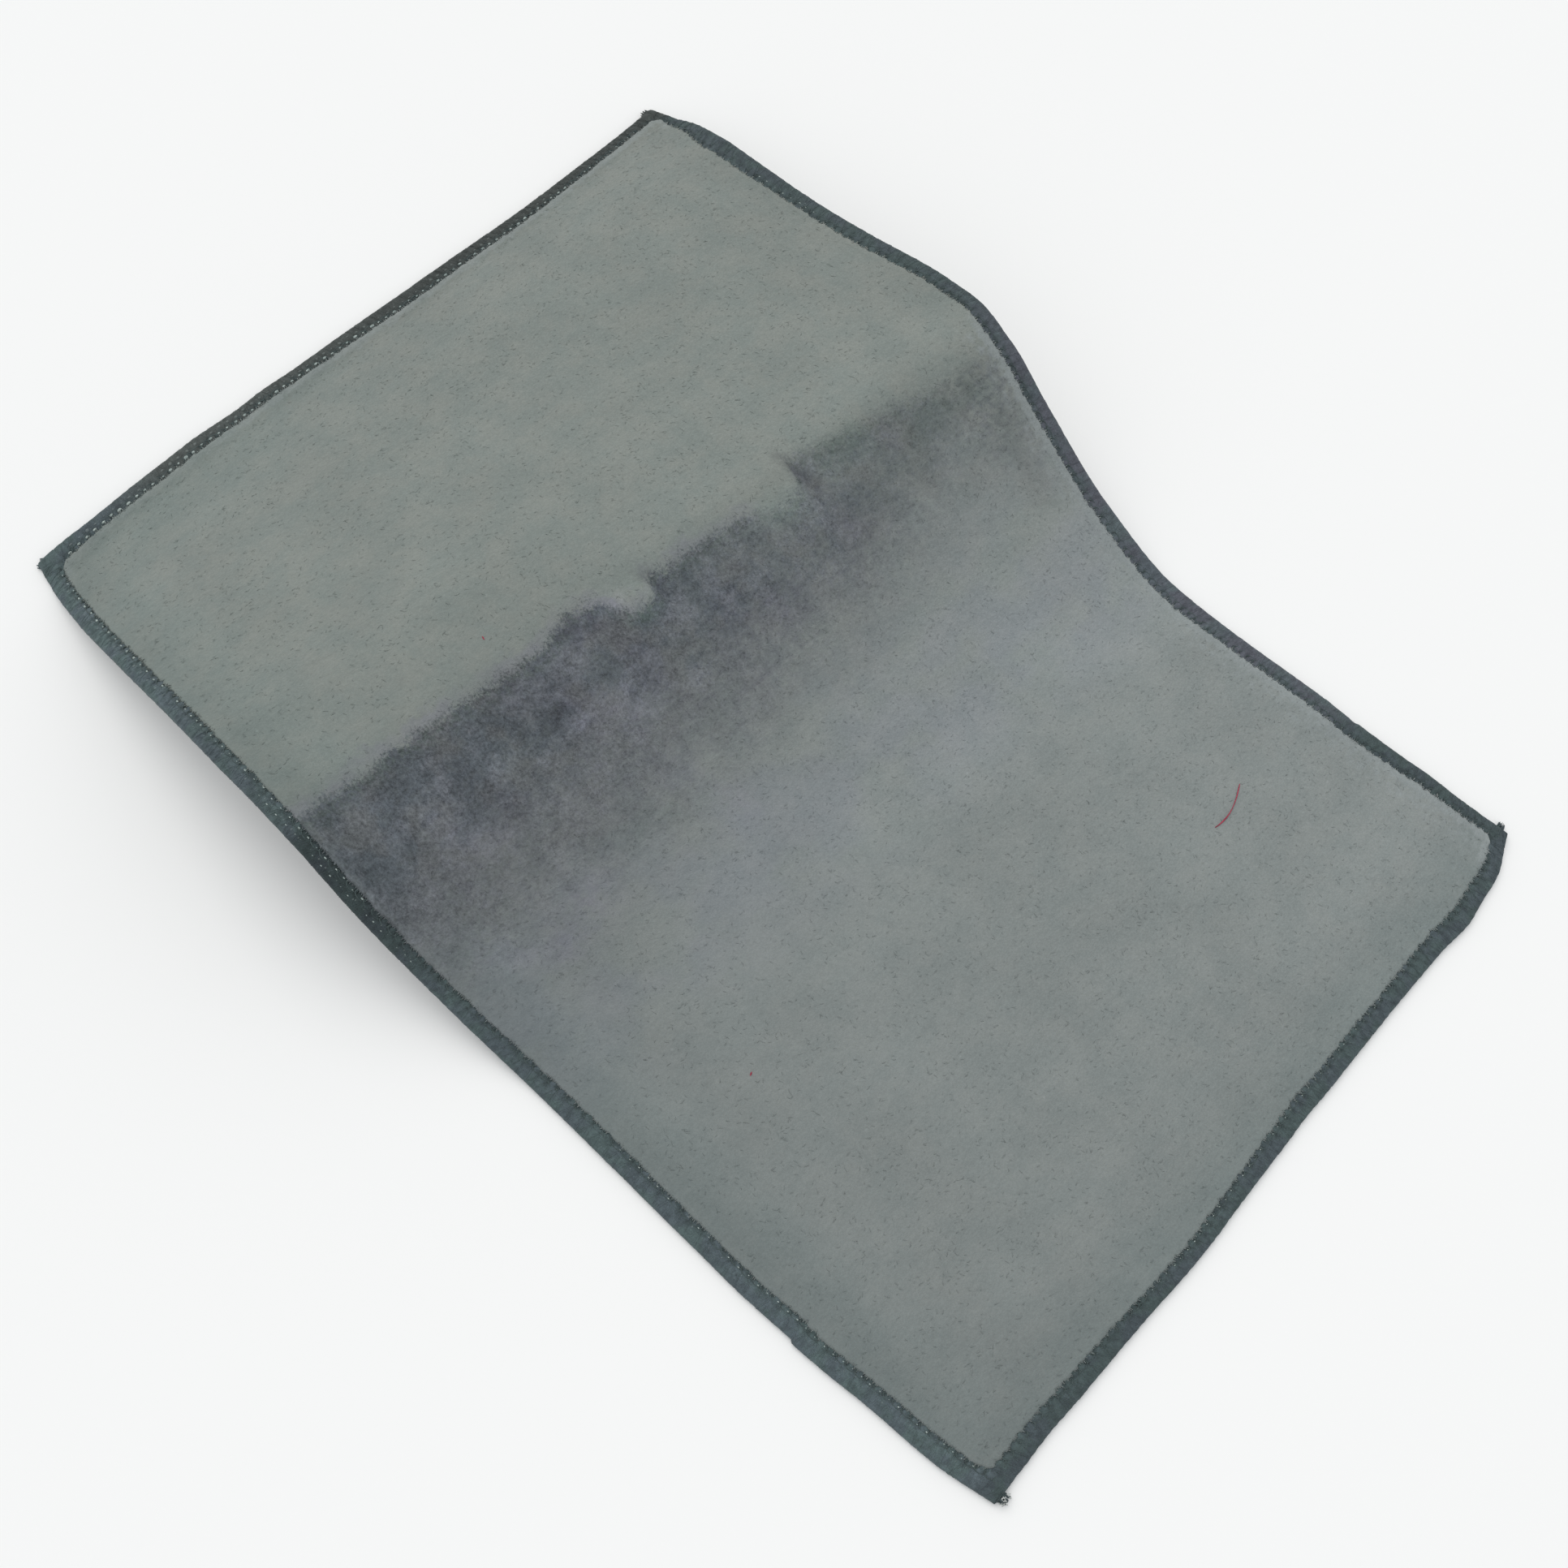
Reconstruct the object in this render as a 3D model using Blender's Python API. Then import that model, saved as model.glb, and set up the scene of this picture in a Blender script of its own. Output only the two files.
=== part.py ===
"""A gym towel, built as it is made: one panel of short-pile cloth, cut square, and an overlocked
edging run along each of its four sides. It lies on a flat surface with one soft hump across it,
which leans: its crest meets the left long side further from the near side than the right one.

Metres, +Z up. The near side faces -Y, the long sides face -X and +X. The origin is at the
bottom centre of the towel's box. The underside of the near part is flat, at Z = 0.
"""

import math
from collections import namedtuple

import bpy
import numpy as np

MM = 0.001

# ---------------------------------------------------------------- driving dimensions
CUT_WIDTH = 305 * MM        # across, side to side, before the edging draws the corners in
CUT_LENGTH = 457 * MM       # along the cloth, over the hump
CLOTH_THICK = 2.4 * MM      # ground and pile on both faces
PRESSED_THICK = 1.0 * MM    # the same cloth where the edging presses its pile flat
EDGING_WIDTH = 7.5 * MM
EDGING_WALL = 0.5 * MM      # one layer of yarn, above and below the cloth
EDGING_BEVEL = 0.6 * MM     # rounding of the edging's outer corners
GAP = 0.3 * MM              # clearance between neighbouring solids

COLUMNS = 17                # cells across the cloth, between the edgings
PULL_REACH = 0.13           # share of the width in which a short side's corner is drawn in

# Worked out from the dimensions above.
CLOTH_INSET = EDGING_WALL + GAP
PRESSED_LOW = EDGING_WALL + GAP
PRESSED_HIGH = PRESSED_LOW + PRESSED_THICK
EDGING_HIGH = PRESSED_HIGH + GAP + EDGING_WALL
PILE_START = EDGING_WIDTH + GAP

# ---------------------------------------------------------------- the lie of the towel
# One row for each section line, in millimetres: where it starts on the left long side and ends
# on the right one, how high the underside is there, and the cells up to the next row.
Section = namedtuple("Section", "name left_x left_y left_rise right_x right_y right_rise cells")
SECTIONS = [
    Section("near side",     -152.0, -217.5,  0.0, 151.5, -229.8,  0.0, 2),
    Section("near corners",  -156.0, -195.0,  0.0, 149.5, -204.0,  0.0, 3),
    Section("lying flat",    -160.0, -130.0,  0.0, 144.5, -140.0,  0.0, 4),
    Section("foot",          -159.5,  -32.0,  0.0, 139.5,  -70.0,  0.0, 6),
    Section("low slope",     -160.5,    8.0,  9.0, 141.0,  -28.0, 10.5, 5),
    Section("mid slope",     -161.0,   43.0, 23.5, 143.0,   12.0, 30.5, 5),
    Section("brow",          -160.0,   72.0, 38.0, 144.0,   35.0, 43.5, 3),
    Section("crest",         -159.5,   88.0, 41.5, 144.5,   49.0, 47.0, 3),
    Section("behind crest",  -159.0,  108.0, 39.5, 145.5,   66.0, 45.5, 4),
    Section("high ramp",     -158.0,  130.0, 33.0, 147.0,  100.0, 36.0, 4),
    Section("mid ramp",      -157.0,  157.0, 23.5, 148.5,  138.0, 26.0, 5),
    Section("low ramp",      -155.5,  185.0, 11.0, 150.0,  180.0, 16.6, 4),
    Section("far corners",   -153.6,  203.0,  3.4, 152.5,  197.3,  8.8, 3),
    Section("far hem",       -151.8,  214.4,  0.0, 152.3,  208.0,  3.0, 2),
    Section("far side",      -149.5,  224.7,  0.0, 150.2,  217.7,  0.6, 0),
]

# How far each end of a short side is drawn in from its straight line, in millimetres.
CornerPull = namedtuple("CornerPull", "side left right")
CORNER_PULLS = [
    CornerPull("near", 0.0, 9.2),
    CornerPull("far", 3.4, -1.6),
]

# Broad swellings and hollows of the raised cloth, in millimetres: centre, half lengths along and
# across the towel, and height at the centre.
Swell = namedtuple("Swell", "name x y half_x half_y height")
SWELLS = [
    Swell("left of crest",      -70.0,  104.0, 48.0, 20.0,  1.4),
    Swell("dip in the crest",    28.0,   74.0, 26.0, 15.0, -1.6),
    Swell("right of crest",      92.0,   62.0, 34.0, 16.0,  1.2),
    Swell("hollow of the ramp", -30.0,  158.0, 60.0, 24.0, -1.8),
    Swell("full of the ramp",    85.0,  150.0, 42.0, 26.0,  1.6),
    Swell("full of the slope",  -60.0,   28.0, 50.0, 16.0,  1.5),
    Swell("hollow of slope",     45.0,   12.0, 34.0, 15.0, -1.4),
]


def slope_at(slope_in, slope_out, span_in, span_out):
    """The curve's slope at a row: nought at a turning point, and never steep enough to overshoot."""
    same_way = slope_in * slope_out > 0
    weight_in, weight_out = span_in + 2 * span_out, 2 * span_in + span_out
    safe_in, safe_out = np.where(same_way, slope_in, 1.0), np.where(same_way, slope_out, 1.0)
    mean = (weight_in + weight_out) / (weight_in / safe_in + weight_out / safe_out)
    return np.where(same_way, mean, 0.0)


def hermite(before, start, end, after, steps, share):
    """A point on a smooth curve from start to end, with steps the distances between the four."""
    first, middle, last = steps
    slope = (end - start) / middle
    leave = slope_at((start - before) / first, slope, first, middle)
    arrive = slope_at(slope, (after - end) / last, middle, last)
    square, cube = share ** 2, share ** 3
    return (
        (2 * cube - 3 * square + 1) * start
        + (cube - 2 * square + share) * middle * leave
        + (3 * square - 2 * cube) * end
        + (cube - square) * middle * arrive
    )


def section_lines():
    """The section table in metres, with one more row beyond each end: left point, right point."""
    table = np.array([[row.left_x, row.left_y, row.left_rise,
                       row.right_x, row.right_y, row.right_rise] for row in SECTIONS]) * MM
    return np.vstack([2 * table[0] - table[1], table, 2 * table[-1] - table[-2]])


def section_spans():
    """Cloth between each section line and the next, adding up to CUT_LENGTH in the table."""
    spans = np.array([
        0.5 * (math.dist(a[:3], b[:3]) + math.dist(a[3:], b[3:])) for a, b in zip(LINES, LINES[1:])
    ])
    return spans * CUT_LENGTH / spans[1:-1].sum()


LINES = section_lines()
SPANS = section_spans()
STARTS = np.concatenate([[0.0], np.cumsum(SPANS[1:-1])])


def section_at(along):
    """The left and right ends of the section line at this distance from the near side."""
    row = int(np.clip(np.searchsorted(STARTS, along, side="right") - 1, 0, len(SPANS) - 3))
    share = (along - STARTS[row]) / SPANS[row + 1]
    ends = hermite(*LINES[row:row + 4], SPANS[row:row + 3], share)
    return ends[:3], ends[3:]


def corner_pull(across, along):
    """How far a short side's corner is drawn in here, along +Y at the near side."""
    near, far = CORNER_PULLS
    left = max(0.0, 1 - across / PULL_REACH) ** 2
    right = max(0.0, 1 - (1 - across) / PULL_REACH) ** 2
    share = along / CUT_LENGTH
    near_fade = max(0.0, 1 - share / PULL_REACH) ** 2
    far_fade = max(0.0, 1 - (1 - share) / PULL_REACH) ** 2
    return MM * (near_fade * (near.left * left + near.right * right)
                 - far_fade * (far.left * left + far.right * right))


def swell(x, y, rise):
    """Height added by the broad swellings. It fades out where the cloth comes down to rest."""
    added = 0.0
    for row in SWELLS:
        off = math.hypot((x / MM - row.x) / row.half_x, (y / MM - row.y) / row.half_y)
        added += row.height * MM * math.exp(-off * off)
    return added * min(1.0, rise / (12 * MM))


def underside(across, along):
    """A point of the underside. across runs from 0 at the left to 1, along from 0 to CUT_LENGTH."""
    left, right = section_at(along)
    x, y, rise = left + (right - left) * across
    rise = max(0.0, rise)
    return np.array([x, y + corner_pull(across, along), rise + swell(x, y, rise)])


def lie(across, along, height):
    """A point this height above the underside, square to the cloth."""
    step = 0.5 * MM
    low, high = max(0.0, along - step), min(CUT_LENGTH, along + step)
    forward = underside(across, high) - underside(across, low)
    side = 2 * step / CUT_WIDTH
    start = min(max(across - side / 2, 0.0), 1.0 - side)
    rightward = underside(start + side, along) - underside(start, along)
    normal = np.cross(rightward, forward)
    return underside(across, along) + normal * (height / np.linalg.norm(normal))


# ---------------------------------------------------------------- the lines of the mesh
def row_lines():
    """Distances along the towel of the mesh rows between the two short edgings."""
    rows = []
    for row, start, span in zip(SECTIONS, STARTS, SPANS[1:-1]):
        rows += [start + span * cell / row.cells for cell in range(row.cells)]
    spare = 2.0 * MM
    return [row for row in rows if PILE_START + spare < row < CUT_LENGTH - PILE_START - spare]


def column_lines():
    """Distances across the towel of the mesh columns between the two long edgings."""
    inner = CUT_WIDTH - 2 * PILE_START
    return [PILE_START + inner * cell / COLUMNS for cell in range(1, COLUMNS)]


# ---------------------------------------------------------------- solids
def solid(name, points, faces, material):
    mesh = bpy.data.meshes.new(name)
    mesh.from_pydata([tuple(point) for point in points], [], faces)
    mesh.materials.append(material)
    mesh.shade_smooth()
    mesh.set_sharp_from_angle(angle=math.radians(40))
    obj = bpy.data.objects.new(name, mesh)
    bpy.context.scene.collection.objects.link(obj)
    return obj


def grid_solid(name, sheets, material):
    """A closed body between two grids of points, upper and lower, joined round their rim."""
    upper, lower = sheets
    rows, columns = len(upper), len(upper[0])
    points = [point for sheet in sheets for row in sheet for point in row]
    base = rows * columns
    faces = []
    for row in range(rows - 1):
        for column in range(columns - 1):
            a = row * columns + column
            b, c, d = a + 1, a + columns + 1, a + columns
            faces.append((a, b, c, d))
            faces.append((base + a, base + d, base + c, base + b))
    rim = list(range(columns))
    rim += [row * columns + columns - 1 for row in range(1, rows)]
    rim += [(rows - 1) * columns + column for column in range(columns - 2, -1, -1)]
    rim += [row * columns for row in range(rows - 2, 0, -1)]
    for start, end in zip(rim, rim[1:] + rim[:1]):
        faces.append((base + start, base + end, end, start))
    return solid(name, points, faces, material)


def cloth_panel(material):
    """The panel: full thickness in the open, pressed thin where the edging holds it."""
    pressed = [CLOTH_INSET, PILE_START]
    insets = [(inset, True) for inset in pressed]
    row_marks = insets + [(PILE_START, False)]
    row_marks += [(row, False) for row in row_lines()]
    row_marks += [(CUT_LENGTH - PILE_START, False)]
    row_marks += [(CUT_LENGTH - inset, True) for inset in reversed(pressed)]
    column_marks = insets + [(PILE_START, False)]
    column_marks += [(column, False) for column in column_lines()]
    column_marks += [(CUT_WIDTH - PILE_START, False)]
    column_marks += [(CUT_WIDTH - inset, True) for inset in reversed(pressed)]
    upper, lower = [], []
    for along, row_pressed in row_marks:
        upper.append([])
        lower.append([])
        for across, column_pressed in column_marks:
            flat = row_pressed or column_pressed
            place = across / CUT_WIDTH, along
            upper[-1].append(lie(*place, PRESSED_HIGH if flat else CLOTH_THICK))
            lower[-1].append(lie(*place, PRESSED_LOW if flat else 0.0))
    return grid_solid("cloth", (upper, lower), material)


def edging_section():
    """The edging's section: (distance in from the outline, height), round a slot for the cloth."""
    return [
        (EDGING_WIDTH, 0.0),
        (EDGING_BEVEL, 0.0),
        (0.0, EDGING_BEVEL),
        (0.0, EDGING_HIGH - EDGING_BEVEL),
        (EDGING_BEVEL, EDGING_HIGH),
        (EDGING_WIDTH, EDGING_HIGH),
        (EDGING_WIDTH, EDGING_HIGH - EDGING_WALL),
        (EDGING_WALL, EDGING_HIGH - EDGING_WALL),
        (EDGING_WALL, EDGING_WALL),
        (EDGING_WIDTH, EDGING_WALL),
    ]


def swept_edging(name, stations, place, material):
    """Carries the edging's section through the stations. place gives the point for a station."""
    section = edging_section()
    count = len(section)
    points = [place(station, inset, height) for station in stations for inset, height in section]
    faces = []
    for ring in range(len(stations) - 1):
        for corner in range(count):
            a = ring * count + corner
            b = ring * count + (corner + 1) % count
            faces.append((a, b, b + count, a + count))
    last = (len(stations) - 1) * count
    lips = [(0, 1, 8, 9), (1, 2, 8), (2, 3, 7, 8), (3, 4, 7), (4, 5, 6, 7)]
    for lip in lips:
        faces.append(tuple(reversed(lip)))
        faces.append(tuple(last + corner for corner in lip))
    return solid(name, points, faces, material)


def long_edging(name, mirrored, material):
    """One long side's edging. It runs the towel's full length, corners included."""
    stations = [0.0, PILE_START] + row_lines() + [CUT_LENGTH - PILE_START, CUT_LENGTH]
    if mirrored:
        stations = stations[::-1]

    def place(along, inset, height):
        across = CUT_WIDTH - inset if mirrored else inset
        return lie(across / CUT_WIDTH, along, height)

    return swept_edging(name, stations, place, material)


def short_edging(name, mirrored, material):
    """One short side's edging, between the two long ones."""
    stations = [PILE_START] + column_lines() + [CUT_WIDTH - PILE_START]
    if not mirrored:
        stations = stations[::-1]

    def place(across, inset, height):
        along = CUT_LENGTH - inset if mirrored else inset
        return lie(across / CUT_WIDTH, along, height)

    return swept_edging(name, stations, place, material)


# ---------------------------------------------------------------- materials
def principled(name, color, roughness, sheen):
    material = bpy.data.materials.new(name)
    material.use_nodes = True
    shader = material.node_tree.nodes["Principled BSDF"]
    shader.inputs["Base Color"].default_value = (*color, 1.0)
    shader.inputs["Roughness"].default_value = roughness
    shader.inputs["Metallic"].default_value = 0.0
    shader.inputs["Sheen Weight"].default_value = sheen
    return material


def centre_over_origin(objects):
    """Moves every mesh by the same step, so the towel's box stands centred on the origin."""
    points = np.array([vertex.co for obj in objects for vertex in obj.data.vertices])
    low, high = points.min(axis=0), points.max(axis=0)
    shift = np.array([-(low[0] + high[0]) / 2, -(low[1] + high[1]) / 2, 0.0])
    for obj in objects:
        for vertex in obj.data.vertices:
            vertex.co = (vertex.co[0] + shift[0], vertex.co[1] + shift[1], vertex.co[2])


def build():
    for old in list(bpy.data.objects):
        bpy.data.objects.remove(old)
    cloth = principled("cloth", (0.21, 0.24, 0.22), roughness=0.95, sheen=0.3)
    yarn = principled("edging", (0.07, 0.095, 0.095), roughness=0.85, sheen=0.1)
    parts = [
        cloth_panel(cloth),
        long_edging("edging_left", False, yarn),
        long_edging("edging_right", True, yarn),
        short_edging("edging_near", False, yarn),
        short_edging("edging_far", True, yarn),
    ]
    centre_over_origin(parts)


build()
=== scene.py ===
"""The looks of the gym towel: pile cloth with an overlocked edging, laid over one soft hump.

Everything is made on the flat cut first, in millimetres: across from the left side, along from
the near side, and height above the underside. lay() then carries it onto the towel's folds, in
metres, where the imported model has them.
"""

import math
from collections import namedtuple

import bpy
import numpy as np
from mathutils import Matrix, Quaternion, Vector


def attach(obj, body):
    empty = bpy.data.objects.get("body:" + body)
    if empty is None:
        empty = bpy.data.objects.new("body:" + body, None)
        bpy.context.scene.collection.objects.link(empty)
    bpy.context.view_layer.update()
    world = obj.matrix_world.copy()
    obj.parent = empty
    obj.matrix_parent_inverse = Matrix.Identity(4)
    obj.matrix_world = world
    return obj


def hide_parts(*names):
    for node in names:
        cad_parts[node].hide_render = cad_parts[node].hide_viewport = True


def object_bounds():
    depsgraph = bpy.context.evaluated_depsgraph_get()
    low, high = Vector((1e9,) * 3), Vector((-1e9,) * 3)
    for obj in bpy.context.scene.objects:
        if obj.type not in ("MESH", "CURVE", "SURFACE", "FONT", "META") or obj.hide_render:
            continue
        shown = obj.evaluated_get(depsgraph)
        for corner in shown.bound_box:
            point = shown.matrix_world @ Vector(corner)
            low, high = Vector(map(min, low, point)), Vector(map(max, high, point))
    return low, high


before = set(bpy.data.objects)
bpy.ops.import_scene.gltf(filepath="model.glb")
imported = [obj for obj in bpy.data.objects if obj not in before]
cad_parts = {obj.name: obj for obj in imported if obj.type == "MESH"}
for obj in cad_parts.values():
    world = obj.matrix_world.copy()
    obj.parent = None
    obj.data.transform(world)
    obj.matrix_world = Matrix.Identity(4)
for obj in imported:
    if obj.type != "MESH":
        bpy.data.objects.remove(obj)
CAD_BOX = [list(corner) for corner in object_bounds()]

MM = 0.001

# ---------------------------------------------------------------- driving dimensions, in mm
CUT_WIDTH = 305.0
CUT_LENGTH = 457.0
CLOTH_THICK = 2.4           # ground and pile on both faces
PRESSED_LOW = 0.8           # the cloth's two faces where the edging presses its pile flat
PRESSED_HIGH = 1.8
CLOTH_INSET = 0.8           # from the outline to the cloth's own cut edge
EDGE_MIDDLE = 1.3           # height of the outline, half way up the edging
PULL_REACH = 0.13           # share of the width in which a short side's corner is drawn in

PILE_RISE = 1.1             # width of the pile's bank beside the edging
PILE_PUFF = 0.55            # how far the pile stands up beside the edging
PUFF_REACH = 5.0            # how far into the cloth that is felt
NAP = [(0.11, 6.1, 31), (0.09, 3.3, 32), (0.07, 1.7, 33)]   # its unevenness: height, cell, seed
CORNER_ROUND = 11.5         # the pile's rounding at a corner, measured from the outline
PILE_CORNER = 4.0           # radius of the pile's own corner
FACE_STEP = 1.5             # mesh spacing on the cloth

STITCH = 3.6                # overlock stitch length
WRAP_TOP = 2.45             # height of the wrapped yarn, above the underside
WRAP_CROWN = 0.35           # how far its upper face bulges above that
WRAP_NOSE = 1.25            # half thickness of the rounded outer edge
WRAP_WALL = 0.5             # yarn above and below the slot that holds the cloth
RIB_DEPTHS = {"left": 0.8, "right": 0.35, "near": 1.0, "far": 0.7}    # as shares of the deepest
NEEDLE_LINE = 6.0           # from the outline to the row of needle stitches
NEEDLE_CLEAR = 0.9          # the row's least distance from where the pile begins
LOOP_HALF_LENGTH = 0.98     # the looper thread's loop round each needle stitch
LOOP_HALF_WIDTH = 0.80
LOOP_THREAD = 0.17          # radius of that thread
LOOP_POINTS = 18            # points of the mesh on one loop
DOT_SHAPE = (0.62, 0.40, 0.30)      # half length, width and height of a dot of size 1
KNOT_SHAPE = (0.55, 0.42, 0.22)     # the same for a knot
WRAP_UNDER = 0.5            # how far the edging reaches under the pile's bank
WRAP_STEP = 0.62            # mesh spacing along the edging, and between tufts of the fringe
SLOT_DEPTH = 0.45           # from the outline to the bottom of the edging's slot
NOSE_END = 1.6              # the turn at which the edging's face leaves its rounded outer edge
TURNS = np.concatenate([
    np.linspace(0, 1, 13), np.linspace(1, NOSE_END, 8)[1:], np.linspace(NOSE_END, 2, 5)[1:],
])
OUTERMOST = 16              # which of TURNS lies furthest out, just below the middle
FRINGE_CLEAR = 9.5          # from a corner to the first tuft of the fringe

# ---------------------------------------------------------------- the lie of the towel
# One row for each section line, in mm: where it starts on the left long side and ends on the
# right one, and how high the underside is there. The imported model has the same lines.
Section = namedtuple("Section", "name left_x left_y left_rise right_x right_y right_rise")
SECTIONS = [
    Section("near side",     -152.0, -217.5,  0.0, 151.5, -229.8,  0.0),
    Section("near corners",  -156.0, -195.0,  0.0, 149.5, -204.0,  0.0),
    Section("lying flat",    -160.0, -130.0,  0.0, 144.5, -140.0,  0.0),
    Section("foot",          -159.5,  -32.0,  0.0, 139.5,  -70.0,  0.0),
    Section("low slope",     -160.5,    8.0,  9.0, 141.0,  -28.0, 10.5),
    Section("mid slope",     -161.0,   43.0, 23.5, 143.0,   12.0, 30.5),
    Section("brow",          -160.0,   72.0, 38.0, 144.0,   35.0, 43.5),
    Section("crest",         -159.5,   88.0, 41.5, 144.5,   49.0, 47.0),
    Section("behind crest",  -159.0,  108.0, 39.5, 145.5,   66.0, 45.5),
    Section("high ramp",     -158.0,  130.0, 33.0, 147.0,  100.0, 36.0),
    Section("mid ramp",      -157.0,  157.0, 23.5, 148.5,  138.0, 26.0),
    Section("low ramp",      -155.5,  185.0, 11.0, 150.0,  180.0, 16.6),
    Section("far corners",   -153.6,  203.0,  3.4, 152.5,  197.3,  8.8),
    Section("far hem",       -151.8,  214.4,  0.0, 152.3,  208.0,  3.0),
    Section("far side",      -149.5,  224.7,  0.0, 150.2,  217.7,  0.6),
]

# How far each end of a short side is drawn in from its straight line.
CornerPull = namedtuple("CornerPull", "side left right")
CORNER_PULLS = [
    CornerPull("near", 0.0, 9.2),
    CornerPull("far", 3.4, -1.6),
]

# Broad swellings and hollows of the raised cloth: centre, half lengths and height.
Swell = namedtuple("Swell", "name x y half_x half_y height")
SWELLS = [
    Swell("left of crest",      -70.0,  104.0, 48.0, 20.0,  1.4),
    Swell("dip in the crest",    28.0,   74.0, 26.0, 15.0, -1.6),
    Swell("right of crest",      92.0,   62.0, 34.0, 16.0,  1.2),
    Swell("hollow of the ramp", -30.0,  158.0, 60.0, 24.0, -1.8),
    Swell("full of the ramp",    85.0,  150.0, 42.0, 26.0,  1.6),
    Swell("full of the slope",  -60.0,   28.0, 50.0, 16.0,  1.5),
    Swell("hollow of slope",     45.0,   12.0, 34.0, 15.0, -1.4),
]

SWELL_RISE = 12.0           # how high the cloth must stand for them to have their full height

# Soft troughs and ridges on the cut: from one point to another, half width and height.
Crease = namedtuple("Crease", "name across along to_across to_along half_width height")
CREASES = [
    Crease("notch trough",       206.5, 291.0, 208.0, 281.0,  3.6, -1.0),
    Crease("left lip of notch",  199.0, 284.0, 200.0, 266.0,  4.0,  0.6),
    Crease("dimple",             127.0, 287.0, 136.0, 284.0,  5.0,  1.0),
    Crease("foot of dimple",     139.0, 288.0, 141.0, 279.0,  2.4, -0.9),
    Crease("hairline",           142.0, 239.0, 162.0, 240.0,  1.6, -0.4),
    Crease("left wave",           18.0, 262.0,  30.0, 205.0, 11.0, -0.9),
    Crease("left full",           44.0, 268.0,  56.0, 214.0, 12.0,  0.9),
    Crease("mid trough",          96.0, 276.0, 104.0, 236.0,  8.0, -0.7),
    Crease("mid full",           168.0, 270.0, 172.0, 230.0, 10.0,  0.7),
    Crease("right trough",       243.0, 280.0, 250.0, 238.0,  9.0, -0.8),
    Crease("right full",         274.0, 270.0, 270.0, 226.0, 10.0,  0.7),
    Crease("near ripple",         60.0, 148.0, 190.0, 128.0, 12.0,  0.6),
    Crease("near corner fold",    20.0,  60.0,  74.0,  26.0, 10.0,  0.8),
    Crease("right edge lift",    292.0, 150.0, 296.0,  84.0,  7.0,  0.9),
    Crease("far left pucker",     22.0, 400.0,  70.0, 428.0,  9.0,  0.5),
    Crease("far right pucker",   284.0, 378.0, 262.0, 420.0,  9.0,  0.6),
]

# How far the pile's boundary lies from the outline, at even steps along each side, and how far
# its tufts reach over the edging: at each stitch, and at random.
Border = namedtuple("Border", "side scallop ragged widths")
BORDERS = {
    row.side: row for row in [
        Border("left", 0.14, 0.26,
               [7.2, 6.8, 6.8, 6.3, 6.5, 6.0, 5.5, 5.4, 5.9, 5.8, 5.9, 6.3, 6.5]),
        Border("right", 0.34, 0.34,
               [5.4, 6.2, 7.5, 7.6, 8.3, 7.6, 7.2, 7.1, 6.8, 7.9, 8.3, 9.0, 3.0]),
        Border("near", 0.40, 0.24,
               [7.9, 7.8, 7.0, 6.1, 5.9, 6.5, 7.1, 6.9, 6.6, 7.2, 6.9, 7.0]),
        Border("far", 0.22, 0.32,
               [7.6, 5.6, 6.0, 5.5, 5.4, 6.1, 6.9, 6.6, 6.6, 6.2, 5.6, 5.2]),
    ]
}

# Where the needle's thread shows as pale dots: from and to along the side, spacing, size, and how
# far out from the needle line they lie.
Dots = namedtuple("Dots", "side start end pitch size out")
DOTS = [
    Dots("left",   10.0, 150.0, 3.6, 0.62, 0.0),
    Dots("left",  236.0, 304.0, 3.6, 0.58, 2.3),
    Dots("left",  262.0, 343.0, 3.6, 0.75, 0.0),
    Dots("left",  346.0, 449.0, 5.2, 1.15, 0.0),
    Dots("right", 368.0, 400.0, 3.6, 0.60, 0.0),
    Dots("near",   84.0, 220.0, 3.6, 0.50, 0.0),
    Dots("far",    12.0, 150.0, 3.7, 1.45, 0.0),
    Dots("far",   152.0, 250.0, 3.7, 1.30, 0.0),
    Dots("far",   252.0, 293.0, 3.7, 0.75, 0.0),
]

# Small steps in the outline, where the edging was pulled tight: it draws in, then jumps back.
Nick = namedtuple("Nick", "side start end depth")
NICKS = [
    Nick("left",   98.0,  79.5, 0.9),
    Nick("right",  88.0,  74.5, 0.5),
]
NICK_JUMP = 1.2             # length in which the outline jumps back

# Slow waves of the outline: the middle along the side, half length, and how far it is drawn in.
Wave = namedtuple("Wave", "side at half_length drawn")
WAVES = [
    Wave("near",  103.0, 26.0, -1.4),
    Wave("near",   27.0, 12.0,  0.6),
    Wave("near",  165.0, 10.0,  0.5),
    Wave("near",  215.0, 42.0,  0.8),
    Wave("near",  263.0,  9.0, -1.1),
    Wave("near",  289.0,  8.0, -1.2),
    Wave("far",    27.0, 16.0,  1.1),
    Wave("far",    71.0, 12.0, -0.7),
    Wave("far",   102.0,  8.0, -0.5),
    Wave("far",   225.0, 38.0,  1.3),
    Wave("far",   170.0, 22.0,  0.4),
    Wave("left",   50.0, 16.0,  0.8),
    Wave("right", 366.0, 30.0,  1.2),
    Wave("right", 303.0, 10.0, -1.0),
    Wave("right",  41.0, 10.0, -0.6),
    Wave("right", 415.0, 10.0, -0.6),
]
WAVE_REACH = 16.0           # how far into the cloth these reach

# The band of painted shade past the crest, with some real shade from the lamp over the hump:
# its upper edge on the cut, as places across and along.
BAND_EDGE = [
    (0, 289), (60, 290), (72, 289), (98, 289), (110, 293), (121, 292), (129, 282), (137, 282),
    (140, 288), (182, 287), (194, 281), (203, 283), (205, 294), (222, 291), (250, 288), (275, 285),
    (305, 281),
]
BAND_TOP = 286.0            # along the cut, where the band's fading is measured from
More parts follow.
